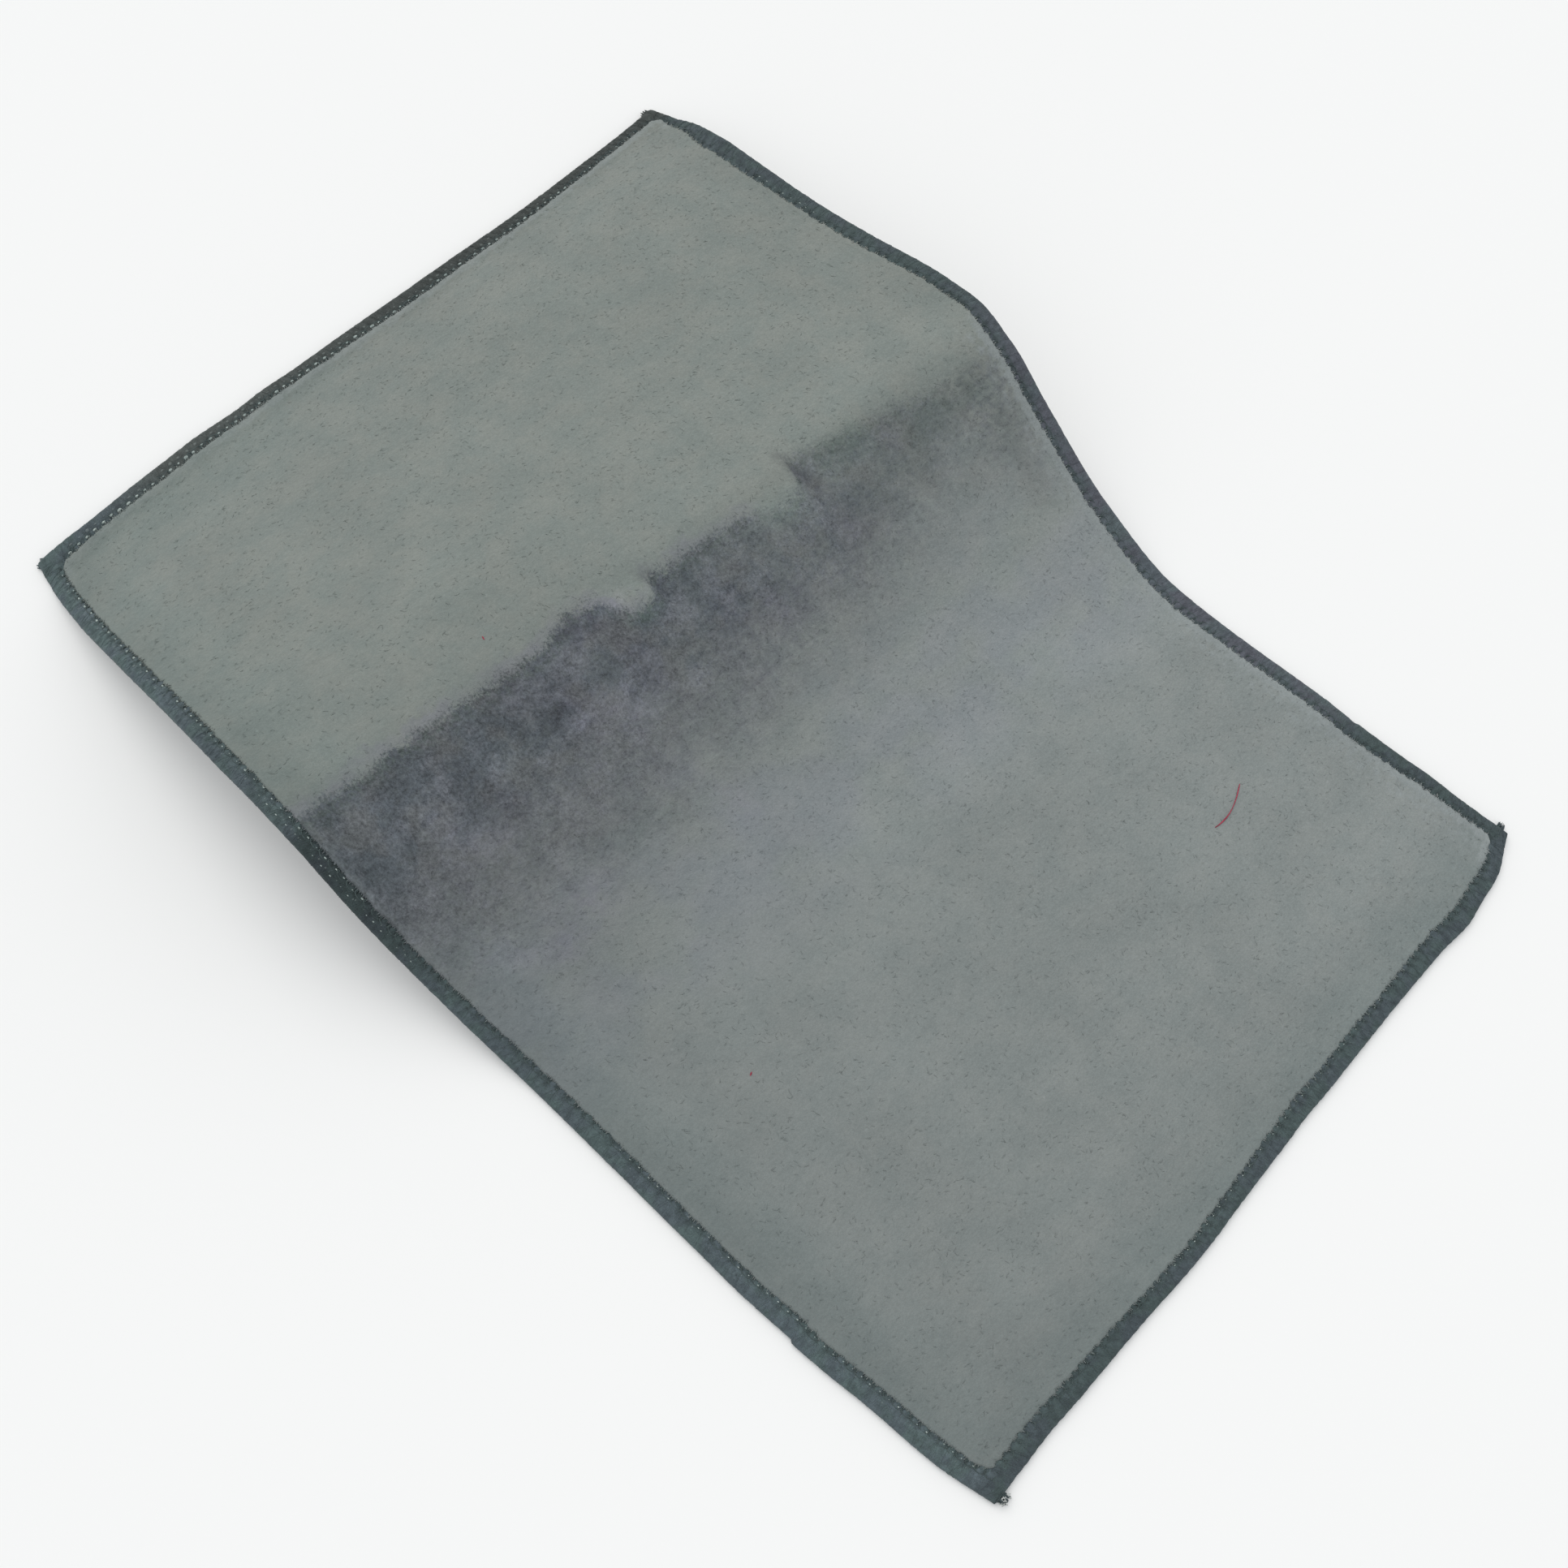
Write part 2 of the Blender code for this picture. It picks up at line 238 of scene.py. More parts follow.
# For each place across: how dark the band's painted shade is, how far down it stays so, and how far
# it then takes to fade towards the near side.
BandDepth = namedtuple("BandDepth", "across dark keep fade")
BAND_DEPTHS = [
    BandDepth(0,   1.00, 20, 74),
    BandDepth(30,  0.98, 15, 86),
    BandDepth(60,  0.98, 14, 82),
    BandDepth(90,  0.98,  4, 94),
    BandDepth(120, 0.96,  4, 90),
    BandDepth(150, 0.96,  2, 84),
    BandDepth(170, 0.82, 16, 60),
    BandDepth(190, 0.66, 16, 61),
    BandDepth(207, 0.77, 14, 60),
    BandDepth(222, 0.59, 12, 56),
    BandDepth(240, 0.60,  0, 65),
    BandDepth(260, 0.61,  0, 65),
    BandDepth(277, 0.60, 13, 53),
    BandDepth(305, 0.58, 20, 44),
]

# Soft marks of painted shade and light on the pile, mostly in the band, each round a short line:
# shade in the notch, creases and fold lines, light round the dimple, and the mottle of the band's
# painted shade.
# How much lighter or darker the middle of the mark is, and how much more lilac (or greener, below
# nought).
Mark = namedtuple("Mark", "name across along to_across to_along half_width shade lilac")
MARKS = [
    Mark("notch line",         204.4, 298.0, 206.0, 289.0, 1.5, -0.24,  0.3),
    Mark("notch blob",         207.2, 287.0, 208.4, 280.5, 3.4, -0.26,  0.5),
    Mark("under the notch",    208.5, 273.0, 211.5, 262.0, 6.0, -0.03,  0.3),
    Mark("right of that",      214.0, 260.0, 226.0, 258.0, 6.0, -0.04,  0.2),
    Mark("pale before notch",  190.0, 282.0, 200.0, 279.0, 7.0,  0.12, -0.5),
    Mark("tooth",              240.5, 289.0, 244.0, 275.0, 3.6, -0.12,  0.2),
    Mark("green right",        252.0, 278.0, 280.0, 277.0, 5.5, -0.15, -0.5),
    Mark("green mid",          217.0, 285.0, 232.0, 286.0, 6.0, -0.08, -0.9),
    Mark("right end",          281.0, 281.0, 291.0, 282.0, 5.0, -0.12,  0.1),
    Mark("right patch",        285.0, 260.0, 283.0, 232.0, 7.0, -0.13,  0.0),
    Mark("pale right",         258.0, 263.0, 270.0, 263.0, 7.0,  0.12,  0.0),
    Mark("pale under",         236.0, 252.0, 262.0, 238.0, 9.0,  0.08,  0.0),
    Mark("dark middle",        154.0, 282.0, 163.0, 281.0, 6.0, -0.12, -0.3),
    Mark("plum middle",        155.0, 262.0, 176.0, 254.0, 9.0, -0.07,  0.5),
    Mark("navy blob",          108.5, 287.5, 115.0, 287.0, 4.5, -0.20,  0.9),
    Mark("halo of dimple",     121.0, 288.5, 128.0, 287.0, 3.6,  0.16,  0.8),
    Mark("dimple",             130.0, 286.0, 136.0, 286.0, 5.0,  0.07, -0.2),
    Mark("upper row",           14.0, 284.0,  98.0, 284.0, 6.0, -0.06,  0.0),
    Mark("slate left",          80.0, 273.0,  88.0, 271.0, 7.0, -0.10,  0.0),
    Mark("pale between",        58.0, 270.0,  66.0, 269.0, 6.0,  0.08, -0.2),
    Mark("pale in middle",     154.0, 268.0, 170.0, 270.0, 7.0,  0.09,  0.1),
    Mark("beak",               140.2, 290.0, 142.0, 284.0, 2.6, -0.22,  0.7),
    Mark("green under dimple", 127.0, 279.5, 137.0, 279.5, 2.4, -0.05, -1.0),
    Mark("left end",            12.0, 286.0,  11.0, 250.0, 6.0, -0.09, -0.3),
    Mark("navy left",           54.0, 271.0,  56.0, 254.0, 6.0, -0.12,  0.3),
    Mark("navy mid left",       80.0, 284.0,  96.0, 274.0, 8.0, -0.11,  0.3),
    Mark("crease in it",        86.0, 269.0,  92.0, 271.5, 1.8, -0.16,  0.4),
    Mark("navy mid",           120.5, 275.0, 123.0, 262.0, 6.0, -0.12,  0.5),
    Mark("lavender mid",        96.0, 265.0, 112.0, 257.0, 8.0,  0.14,  0.7),
    Mark("lavender left",       38.0, 263.0,  45.0, 252.0, 6.0,  0.16,  0.5),
    Mark("mauve left",          21.0, 279.0,  35.0, 273.0, 5.0,  0.14,  0.1),
    Mark("brown left",          29.0, 246.0,  50.0, 238.0, 8.0, -0.07,  0.0),
    Mark("pale bottom left",    21.0, 224.0,  27.0, 214.0, 6.0,  0.07,  0.5),
    Mark("fade right of it",    70.0, 226.0,  98.0, 222.0, 7.0, -0.05, -0.3),
    Mark("lilac foot",          42.0, 207.0,  60.0, 214.0, 9.0,  0.03,  0.8),
    Mark("lilac foot right",   108.0, 226.0, 116.0, 206.0, 8.0,  0.05,  0.5),
    Mark("fold line",          142.0, 239.2, 160.0, 239.6, 1.6, -0.09,  0.4),
    Mark("fold line left",      74.0, 230.6,  92.0, 230.2, 1.6, -0.08,  0.3),
]


# ---------------------------------------------------------------- shape of the laid cloth
def smooth(share):
    """A share from 0 to 1, easing out of 0 and into 1."""
    return share * share * (3 - 2 * share)


def hill(away, half_width):
    """A soft hill: 1 in its middle, falling off over its half width."""
    return np.exp(-(away / half_width) ** 2)


def slope_at(slope_in, slope_out, span_in, span_out):
    """The curve's slope at a row: nought at a turning point, never steep enough to overshoot."""
    same_way = slope_in * slope_out > 0
    weight_in, weight_out = span_in + 2 * span_out, 2 * span_in + span_out
    safe_in, safe_out = np.where(same_way, slope_in, 1.0), np.where(same_way, slope_out, 1.0)
    mean = (weight_in + weight_out) / (weight_in / safe_in + weight_out / safe_out)
    return np.where(same_way, mean, 0.0)


def hermite(before, start, end, after, steps, share):
    """Points on a smooth curve from start to end, with steps the distances between the four."""
    first, middle, last = steps
    slope = (end - start) / middle
    leave = slope_at((start - before) / first, slope, first, middle)
    arrive = slope_at(slope, (after - end) / last, middle, last)
    square, cube = share ** 2, share ** 3
    return (
        (2 * cube - 3 * square + 1) * start
        + (cube - 2 * square + share) * middle * leave
        + (3 * square - 2 * cube) * end
        + (cube - square) * middle * arrive
    )


def section_lines():
    """The section table, with one more row beyond each end: left point, right point."""
    table = np.array([row[1:] for row in SECTIONS])
    return np.vstack([2 * table[0] - table[1], table, 2 * table[-1] - table[-2]])


def section_spans():
    """Cloth between each section line and the next, adding up to CUT_LENGTH in the table."""
    spans = np.array([
        0.5 * (math.dist(a[:3], b[:3]) + math.dist(a[3:], b[3:])) for a, b in zip(LINES, LINES[1:])
    ])
    return spans * CUT_LENGTH / spans[1:-1].sum()


LINES = section_lines()
SPANS = section_spans()
STARTS = np.concatenate([[0.0], np.cumsum(SPANS[1:-1])])


def section_at(along):
    """The left and right ends of the section lines at these distances from the near side."""
    row = np.clip(np.searchsorted(STARTS, along, side="right") - 1, 0, len(SPANS) - 3)
    share = ((along - STARTS[row]) / SPANS[row + 1])[:, None]
    steps = [SPANS[row + step][:, None] for step in range(3)]
    ends = hermite(*(LINES[row + step] for step in range(4)), steps, share)
    return ends[:, :3], ends[:, 3:]


def corner_pull(share_across, share_along):
    """How far a short side's corner is drawn in here, along +Y at the near side."""
    def fade(share):
        return np.clip(1 - share / PULL_REACH, 0, None) ** 2

    near, far = CORNER_PULLS
    left, right = fade(share_across), fade(1 - share_across)
    return (fade(share_along) * (near.left * left + near.right * right)
            - fade(1 - share_along) * (far.left * left + far.right * right))


def swell(x, y, rise):
    """Height added by the broad swellings. It fades out where the cloth comes down to rest."""
    added = np.zeros_like(x)
    for row in SWELLS:
        off = np.hypot((x - row.x) / row.half_x, (y - row.y) / row.half_y)
        added += row.height * hill(off, 1.0)
    return added * np.minimum(1.0, rise / SWELL_RISE)


def off_line(row, across, along):
    """Distance on the cut from the short line of a crease or mark."""
    start = np.array([row.across, row.along])
    run = np.array([row.to_across, row.to_along]) - start
    off = np.stack([across, along], axis=-1) - start
    share = np.clip(off @ run / (run @ run), 0, 1)
    return np.linalg.norm(off - share[:, None] * run, axis=-1)


def crease(across, along):
    """Height added by the creases: each a soft ridge or trough round a short line."""
    added = np.zeros_like(across)
    for row in CREASES:
        added += row.height * hill(off_line(row, across, along), row.half_width)
    return added


def drawn_in(side, run):
    """How far the outline is drawn in here by the small steps and slow waves of the edging."""
    drawn = np.zeros_like(run)
    for nick in NICKS:
        if nick.side == side:
            share = np.clip((nick.start - run) / (nick.start - nick.end), 0, 1)
            drawn += nick.depth * share * np.clip((run - nick.end) / NICK_JUMP + 1, 0, 1)
    for wave in WAVES:
        if wave.side == side:
            drawn += wave.drawn * hill(run - wave.at, wave.half_length)
    return drawn


def outline_shift(across, along):
    """How far the cloth near the outline is moved, sideways and lengthways."""
    def moved(side, run, inset):
        return drawn_in(side, run) * hill(inset, WAVE_REACH)

    sideways = moved("left", along, across) - moved("right", along, CUT_WIDTH - across)
    lengthways = moved("near", across, along) - moved("far", across, CUT_LENGTH - along)
    return sideways, lengthways


def underside(across, along):
    """Points of the underside, in the section table's frame."""
    left, right = section_at(along)
    share = across / CUT_WIDTH
    points = left + (right - left) * share[:, None]
    rise = np.maximum(0.0, points[:, 2])
    lifted = rise + swell(points[:, 0], points[:, 1], rise) + crease(across, along)
    sideways, lengthways = outline_shift(across, along)
    points[:, 0] += sideways
    points[:, 1] += corner_pull(share, along / CUT_LENGTH) + lengthways
    points[:, 2] = np.maximum(0.0, lifted)
    return points


def lie(flat):
    """Carries points of the flat cut onto the towel's folds, in the section table's frame."""
    across, along, height = flat.T
    step = 0.5
    mid_across = np.clip(across, step, CUT_WIDTH - step)
    mid_along = np.clip(along, step, CUT_LENGTH - step)
    rightward = underside(mid_across + step, mid_along) - underside(mid_across - step, mid_along)
    forward = underside(mid_across, mid_along + step) - underside(mid_across, mid_along - step)
    normal = np.cross(rightward, forward)
    normal /= np.linalg.norm(normal, axis=1)[:, None]
    return underside(across, along) + normal * height[:, None]


def frame_shift():
    """From the section table's origin to the frame's, which is the middle of the towel's box."""
    along = np.linspace(0, CUT_LENGTH, 400)
    across = np.linspace(0, CUT_WIDTH, 300)
    sides = [np.stack(np.broadcast_arrays(x, y, EDGE_MIDDLE), axis=1) for x, y in [
        (0.0, along), (CUT_WIDTH, along), (across, 0.0), (across, CUT_LENGTH)]]
    outline = lie(np.vstack(sides))
    own = (outline.min(axis=0) + outline.max(axis=0)) / 2
    middle = (np.array(CAD_BOX[0]) + np.array(CAD_BOX[1])) / 2 / MM
    return np.array([middle[0] - own[0], middle[1] - own[1], 0.0])


SHIFT = frame_shift()


def lay(flat):
    """Points of the flat cut in mm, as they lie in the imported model's frame in metres."""
    return (lie(flat) + SHIFT) * MM


# ---------------------------------------------------------------- noise and side coordinates
def soft_noise(x, y, cell, seed):
    """Smooth noise from -1 to 1, with hills about a cell apart."""
    size = 64
    field = np.random.default_rng(seed).uniform(-1, 1, (size, size))
    column, row = np.floor(x / cell).astype(int), np.floor(y / cell).astype(int)
    right, up = x / cell - column, y / cell - row
    right, up = smooth(right), smooth(up)
    column, row = column % size, row % size
    next_column, next_row = (column + 1) % size, (row + 1) % size
    low = field[row, column] * (1 - right) + field[row, next_column] * right
    high = field[next_row, column] * (1 - right) + field[next_row, next_column] * right
    return low * (1 - up) + high * up


Side = namedtuple("Side", "name length seed")
SIDES = [
    Side("left", CUT_LENGTH, 11),
    Side("right", CUT_LENGTH, 12),
    Side("near", CUT_WIDTH, 13),
    Side("far", CUT_WIDTH, 14),
]


def on_cut(side, run, inset, height):
    """Points on the flat cut from the run along a side, the inset from the outline and height."""
    run, inset, height = np.broadcast_arrays(run, inset, height)
    across, along = {
        "left": (inset, run),
        "right": (CUT_WIDTH - inset, run),
        "near": (run, inset),
        "far": (run, CUT_LENGTH - inset),
    }[side.name]
    return np.stack([across, along, height], axis=-1).reshape(-1, 3)


def plain_border(side, run):
    """Where the pile begins, from the outline, before its teeth."""
    widths = BORDERS[side.name].widths
    stops = np.linspace(0, side.length, len(widths))
    return np.interp(run, stops, widths)


def teeth(side, run):
    """How far single tufts of the pile reach over the edging or draw back from it."""
    border = BORDERS[side.name]
    slow = soft_noise(run, 0.0 * run, 2.3, side.seed)
    fast = soft_noise(run, 0.0 * run, 0.9, side.seed + 20)
    each_stitch = np.cos(2 * math.pi * run / STITCH)
    return border.scallop * each_stitch + border.ragged * (0.8 * slow + 0.5 * fast)


def rounded_border(side, run):
    """Where the pile begins, from the outline, swelling to round off a corner."""
    width = plain_border(side, run)
    end = np.minimum(run, side.length - run)
    reach = np.clip(CORNER_ROUND - end, 0, CORNER_ROUND - width)
    swollen = CORNER_ROUND - np.sqrt(np.maximum((CORNER_ROUND - width) ** 2 - reach ** 2, 0))
    return np.maximum(width, np.minimum(swollen, end))


def inside_pile(across, along):
    """How far a point lies inside the pile's boundary. It is below nought under the edging."""
    gaps = {}
    for side in SIDES:
        run = along if side.name in ("left", "right") else across
        inset = {"left": across, "right": CUT_WIDTH - across,
                 "near": along, "far": CUT_LENGTH - along}[side.name]
        gaps[side.name] = inset - plain_border(side, run) - teeth(side, run)
    beside = np.minimum(gaps["left"], gaps["right"])
    before = np.minimum(gaps["near"], gaps["far"])
    over = np.clip(PILE_CORNER - beside, 0, None), np.clip(PILE_CORNER - before, 0, None)
    corner = PILE_CORNER - np.hypot(*over)
    return np.minimum(np.minimum(beside, before), corner)


def band_past(across, along):
    """How far a point lies past the upper edge of the band of painted shade, towards the near side.
    """
    edge_across, edge_along = zip(*BAND_EDGE)
    return np.interp(across, edge_across, edge_along) - along


def band_depth(across, along):
    """How dark the band's painted shade is here, from 0 to 1, before its mottling."""
    places = [row.across for row in BAND_DEPTHS]
    dark, keep, fade = (
        np.interp(across, places, [getattr(row, field) for row in BAND_DEPTHS])
        for field in ("dark", "keep", "fade")
    )
    share = np.clip((BAND_TOP - along - keep) / fade, 0, 1)
    return dark * (1 - smooth(share))


def painted_marks(across, along):
    """How much lighter and how much more lilac the marks of painted shade and light make the pile
    here.
    """
    shade, lilac = np.zeros_like(across), np.zeros_like(across)
    for row in MARKS:
        cover = hill(off_line(row, across, along), row.half_width)
        shade += row.shade * cover
        lilac += row.lilac * cover
    return shade, lilac


# ---------------------------------------------------------------- mesh helpers
def add_piece(name, flat, faces, material):
    """A piece of the towel from points on the flat cut. Its attributes say where each point was."""
    mesh = bpy.data.meshes.new(name)
    mesh.from_pydata(lay(flat).tolist(), [], [list(map(int, face)) for face in faces])
    mesh.materials.append(material)
    mesh.shade_smooth()
    across, along = flat.T[:2]
    place = mesh.attributes.new("place", "FLOAT_VECTOR", "POINT")
    place.data.foreach_set("vector", np.ascontiguousarray(flat, np.float32).ravel())
    shade, lilac = painted_marks(across, along)
    for label, values in [
        ("shade", shade),
        ("lilac", lilac),
        ("past", np.clip(band_past(across, along), -40, 160)),
        ("depth", band_depth(across, along)),
        ("inside", np.clip(inside_pile(across, along), -20, 60)),
    ]:
        layer = mesh.attributes.new(label, "FLOAT", "POINT")
        layer.data.foreach_set("value", np.asarray(values, np.float32))
    piece = bpy.data.objects.new(name, mesh)
    bpy.context.scene.collection.objects.link(piece)
    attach(piece, "root")
    return piece


def grid_faces(rows, columns, start=0, flip=False):
    """Faces of a grid of points that is stored row by row."""
    corner = start + np.arange((rows - 1) * columns).reshape(rows - 1, columns)[:, :-1].ravel()
    faces = np.stack([corner, corner + 1, corner + columns + 1, corner + columns], axis=1)
    return faces[:, ::-1] if flip else faces


def ring_faces(rings, around):
    """Faces between closed rings of points that are stored ring by ring."""
    ring_at, turn = np.arange(rings - 1)[:, None] * around, np.arange(around)
    after = (turn + 1) % around
    corners = [ring_at + turn, ring_at + after, ring_at + after + around, ring_at + turn + around]
    return np.stack(corners, axis=-1).reshape(-1, 4)


def tubes(paths, radii, sides):
    """Closed tubes round many paths: paths is (tubes, points, 3), radii (tubes, points)."""
    count, length, _ = paths.shape
    ahead = np.gradient(paths, axis=1)
    ahead /= np.linalg.norm(ahead, axis=2, keepdims=True) + 1e-9
    up = np.broadcast_to([0.0, 0.0, 1.0], ahead.shape)
    across = np.cross(ahead, up + 0.01 * ahead[..., ::-1])
    across /= np.linalg.norm(across, axis=2, keepdims=True) + 1e-9
    up = np.cross(across, ahead)
    angles = np.arange(sides) * 2 * math.pi / sides
    ring = (across[:, :, None] * np.cos(angles)[:, None] + up[:, :, None] * np.sin(angles)[:, None])
    points = paths[:, :, None] + ring * radii[:, :, None, None]
    points = points.reshape(count, length * sides, 3)

    starts = np.arange(count) * length * sides
    faces = (ring_faces(length, sides)[None] + starts[:, None, None]).reshape(-1, 4).tolist()
    first, last = list(range(sides))[::-1], [(length - 1) * sides + k for k in range(sides)]
    for start in starts.tolist():
        faces.append([start + k for k in first])
        faces.append([start + k for k in last])
    return points.reshape(-1, 3), faces


def beads(centres, sizes, rings=5, sides=8):
    """Many small ellipsoids: sizes are their three half lengths."""
    tilt = np.linspace(0, math.pi, rings + 1)[1:-1]
    turn = np.arange(sides) * 2 * math.pi / sides
    middle = np.stack([
        np.sin(tilt)[:, None] * np.cos(turn),
        np.sin(tilt)[:, None] * np.sin(turn),
        np.cos(tilt)[:, None] * np.ones(sides),
    ], axis=-1).reshape(-1, 3)
    unit = np.vstack([[0.0, 0.0, 1.0], middle, [0.0, 0.0, -1.0]])
    last = len(unit) - 1
    faces = []
    for ring in range(rings - 2):
        for k in range(sides):
            a = 1 + ring * sides + k
            b = 1 + ring * sides + (k + 1) % sides
            faces.append([a, a + sides, b + sides, b])
    for k in range(sides):
        after = (k + 1) % sides
        faces.append([0, 1 + k, 1 + after])
        faces.append([last, last - sides + after, last - sides + k])
    points = centres[:, None] + unit[None] * sizes[:, None]
    every = [[index + start for index in face]
             for start in range(0, len(centres) * len(unit), len(unit)) for face in faces]
    return points.reshape(-1, 3), every


# ---------------------------------------------------------------- material nodes
class Value:
    """A number, colour or vector of a material's nodes, so that its formulas read as formulas."""

    def __init__(self, tree, socket):
        self.tree, self.socket = tree, socket

    def node(self, kind, inputs, output=0, **settings):
        """One output of a new node in the same tree."""
        node = self.tree.nodes.new("ShaderNode" + kind)
        for name, setting in settings.items():
            setattr(node, name, setting)
        for key, given in inputs.items():
            feed(given, node.inputs[key])
        return Value(self.tree, node.outputs[output])

    def math(self, operation, other, clamp=False):
        return self.node("Math", {0: self, 1: other}, operation=operation, use_clamp=clamp)

    def __add__(self, other):
        return self.math("ADD", other)

    def __mul__(self, other):
        return self.math("MULTIPLY", other)

    def __sub__(self, other):
        return self.math("SUBTRACT", other)

    def __rsub__(self, other):
        return self * -1.0 + other

    def __truediv__(self, other):
        return self.math("DIVIDE", other)

    def larger(self, other):
        return self.math("MAXIMUM", other)

    def smaller(self, other):
        return self.math("MINIMUM", other)

    def step(self, low, high, start=0.0, end=1.0):
        """Goes smoothly from start to end as this number goes from low to high."""
        inputs = dict(enumerate((self, low, high, start, end)))
        return self.node("MapRange", inputs, interpolation_type="SMOOTHSTEP")

    def attribute(self, name):
        """A number that add_piece() stored at each point."""
        return self.node("Attribute", {}, "Fac", attribute_name=name)

    def part(self, axis):
        return self.node("SeparateXYZ", {0: self}, axis)

    def scaled(self, x, y, z=1.0):
        return self.node("VectorMath", {0: self, 1: (x, y, z)}, operation="MULTIPLY")

    def noise(self, size, detail=2.0, roughness=0.5):
        """Noise around 0.5, with its hills about this many millimetres apart."""
        return self.node("TexNoise", {
            "Vector": self, "Scale": 1.0 / size, "Detail": detail, "Roughness": roughness})

    def scattered(self, stretch, spacing, seldom, size, strength):
        """Small scattered marks: 0 nearly everywhere, strength in the middle of a mark."""
        at = self.scaled(*stretch, 0.0)
        away = at.node("TexVoronoi", {"Vector": at, "Scale": 1.0 / spacing}, "Distance")
        pick = Value(self.tree, away.socket.node.outputs["Color"])
        reach = pick.node("SeparateColor", {0: pick}).step(seldom, 1.0, -0.06, size)
        return (away - reach).step(0.05, -0.03, 0.0, strength)

    def mix(self, share, colour, other, blend="MIX"):
        inputs = {0: share, 6: colour, 7: other}
        return self.node("Mix", inputs, 2, data_type="RGBA", blend_type=blend)

    def between(self, low, high):
        """From one colour to another as this number goes from 0 to 1."""
        return self.mix(self, low, high)

    def toward(self, colour, share):
        """This colour with a share of another mixed in."""
        return self.mix(share, self, colour)

    def tinted(self, tint, share):
        """This colour, taken a share of the way to itself times another."""
        return self.mix(share, self, tint, "MULTIPLY")

    def shaded(self, factor):
        """This colour with its brightness multiplied by a number that varies over the surface."""
        return self.node("VectorMath", {0: self, 3: factor}, operation="SCALE")

    def bump(self, depth, under=None):
        """A normal raised by this height, its depth in mm, on top of another normal if given."""
        inputs = {"Height": self, "Distance": depth * MM}
        if under is not None:
            inputs["Normal"] = under
        return self.node("Bump", inputs)


def feed(given, socket):
    """Sets a socket to a number or colour, or links it to a value."""
    if isinstance(given, Value):
        given.tree.links.new(given.socket, socket)
    elif isinstance(given, tuple) and socket.type == "RGBA":
        socket.default_value = (*given, 1.0)
    else:
        socket.default_value = given


def new_material(name, roughness, sheen, sheen_roughness, specular):
    """A material and its shader."""
    material = bpy.data.materials.new(name)
    material.use_nodes = True
    shader = material.node_tree.nodes["Principled BSDF"]
    shader.inputs["Roughness"].default_value = roughness
    shader.inputs["Sheen Weight"].default_value = sheen
    shader.inputs["Sheen Roughness"].default_value = sheen_roughness
    shader.inputs["Specular IOR Level"].default_value = specular
    return material, shader


def place_in(material):
    """Where a point of the surface lies on the flat cut, in mm."""
    node = material.node_tree.nodes.new("ShaderNodeAttribute")
    node.attribute_name = "place"
    return Value(material.node_tree, node.outputs["Vector"])


# ---------------------------------------------------------------- materials
# The pile's colour far and near; the near side's bluer colour is painted cool light.
FAR_PILE = (0.2035, 0.226, 0.2135)
NEAR_PILE = (0.216, 0.238, 0.235)
RIM_PILE = (0.256, 0.284, 0.287)
WARM_TINT = (1.022, 1.000, 0.985)
GREEN_TINT = (0.975, 1.000, 1.000)
LILAC_TINT = (0.978, 0.966, 1.030)
RIM_GREEN = (0.960, 1.000, 1.005)

# Tints of the painted marks of shade and light.
MARK_LILAC = (0.990, 0.955, 1.030)
MARK_GREEN = (0.945, 1.020, 0.985)

# Colours of the band of painted shade past the crest.
BAND_SLATE = (0.088, 0.102, 0.116)
BAND_LAVENDER = (0.133, 0.144, 0.163)
BAND_BROWN = (0.116, 0.124, 0.131)
BAND_MAUVE = (0.126, 0.130, 0.146)
BAND_GREEN = (0.084, 0.104, 0.101)
# Painted shade just past the band's upper edge: darker and bluer than the pile.
SHADE_EDGE_PILE = (0.196, 0.206, 0.224)

YARN_TEAL = (0.100, 0.138, 0.140)
YARN_BLUE = (0.100, 0.128, 0.143)
YARN_PLUM = (0.104, 0.112, 0.134)
YARN_BROWN = (0.101, 0.115, 0.111)
YARN_DARK = (0.056, 0.076, 0.078)
YARN_PALE = (0.36, 0.41, 0.40)


def shade_band_mask(place, across):
    """How much of the band's painted shade shows: ragged at its upper edge, broken into patches
    further down.
    """
    past, depth, inside = (place.attribute(name) for name in ("past", "depth", "inside"))
    flecks = place.scaled(1.0, 0.85).noise(0.9, 3.0, 0.75)
    ragged = flecks * 12.0 + (place.noise(5.0, 3.0) * 6.0 + past)
    edge = ((ragged - 9.0) / across.step(165.0, 225.0, 1.0, 2.0)).step(-1.9, 1.9)
    rim_teeth = place.noise(3.0) * 5.0 + inside
    at_left = rim_teeth.step(3.5, 6.0, 0.80, 1.0)
    at_right = rim_teeth.step(5.4, 7.6, 0.08, 1.0)
    clear = (at_right - at_left) * across.step(250.0, 285.0) + at_left
    clouds = place.scaled(1.0, 0.8).noise(26.0, 3.0, 0.6)
    streaks = place.scaled(1.0, 0.45).noise(6.0, 3.0, 0.65)
    crumbs = place.scaled(0.8, 1.1).noise(2.6, 3.0, 0.75)
    # Breaks the band's painted shade up into patches lower down the slope.
    shade_breakup = clouds * 0.7 + streaks * 0.7 + crumbs * 1.1 - 1.25
    loose = depth.step(0.0, 0.35) * depth.step(1.25, 0.55, 0.30, 1.0)
    loose = loose * across.step(225.0, 285.0, 1.0, 0.6)
    broken_shade = (shade_breakup * loose).math("ADD", depth, clamp=True)
    return edge * clear * broken_shade


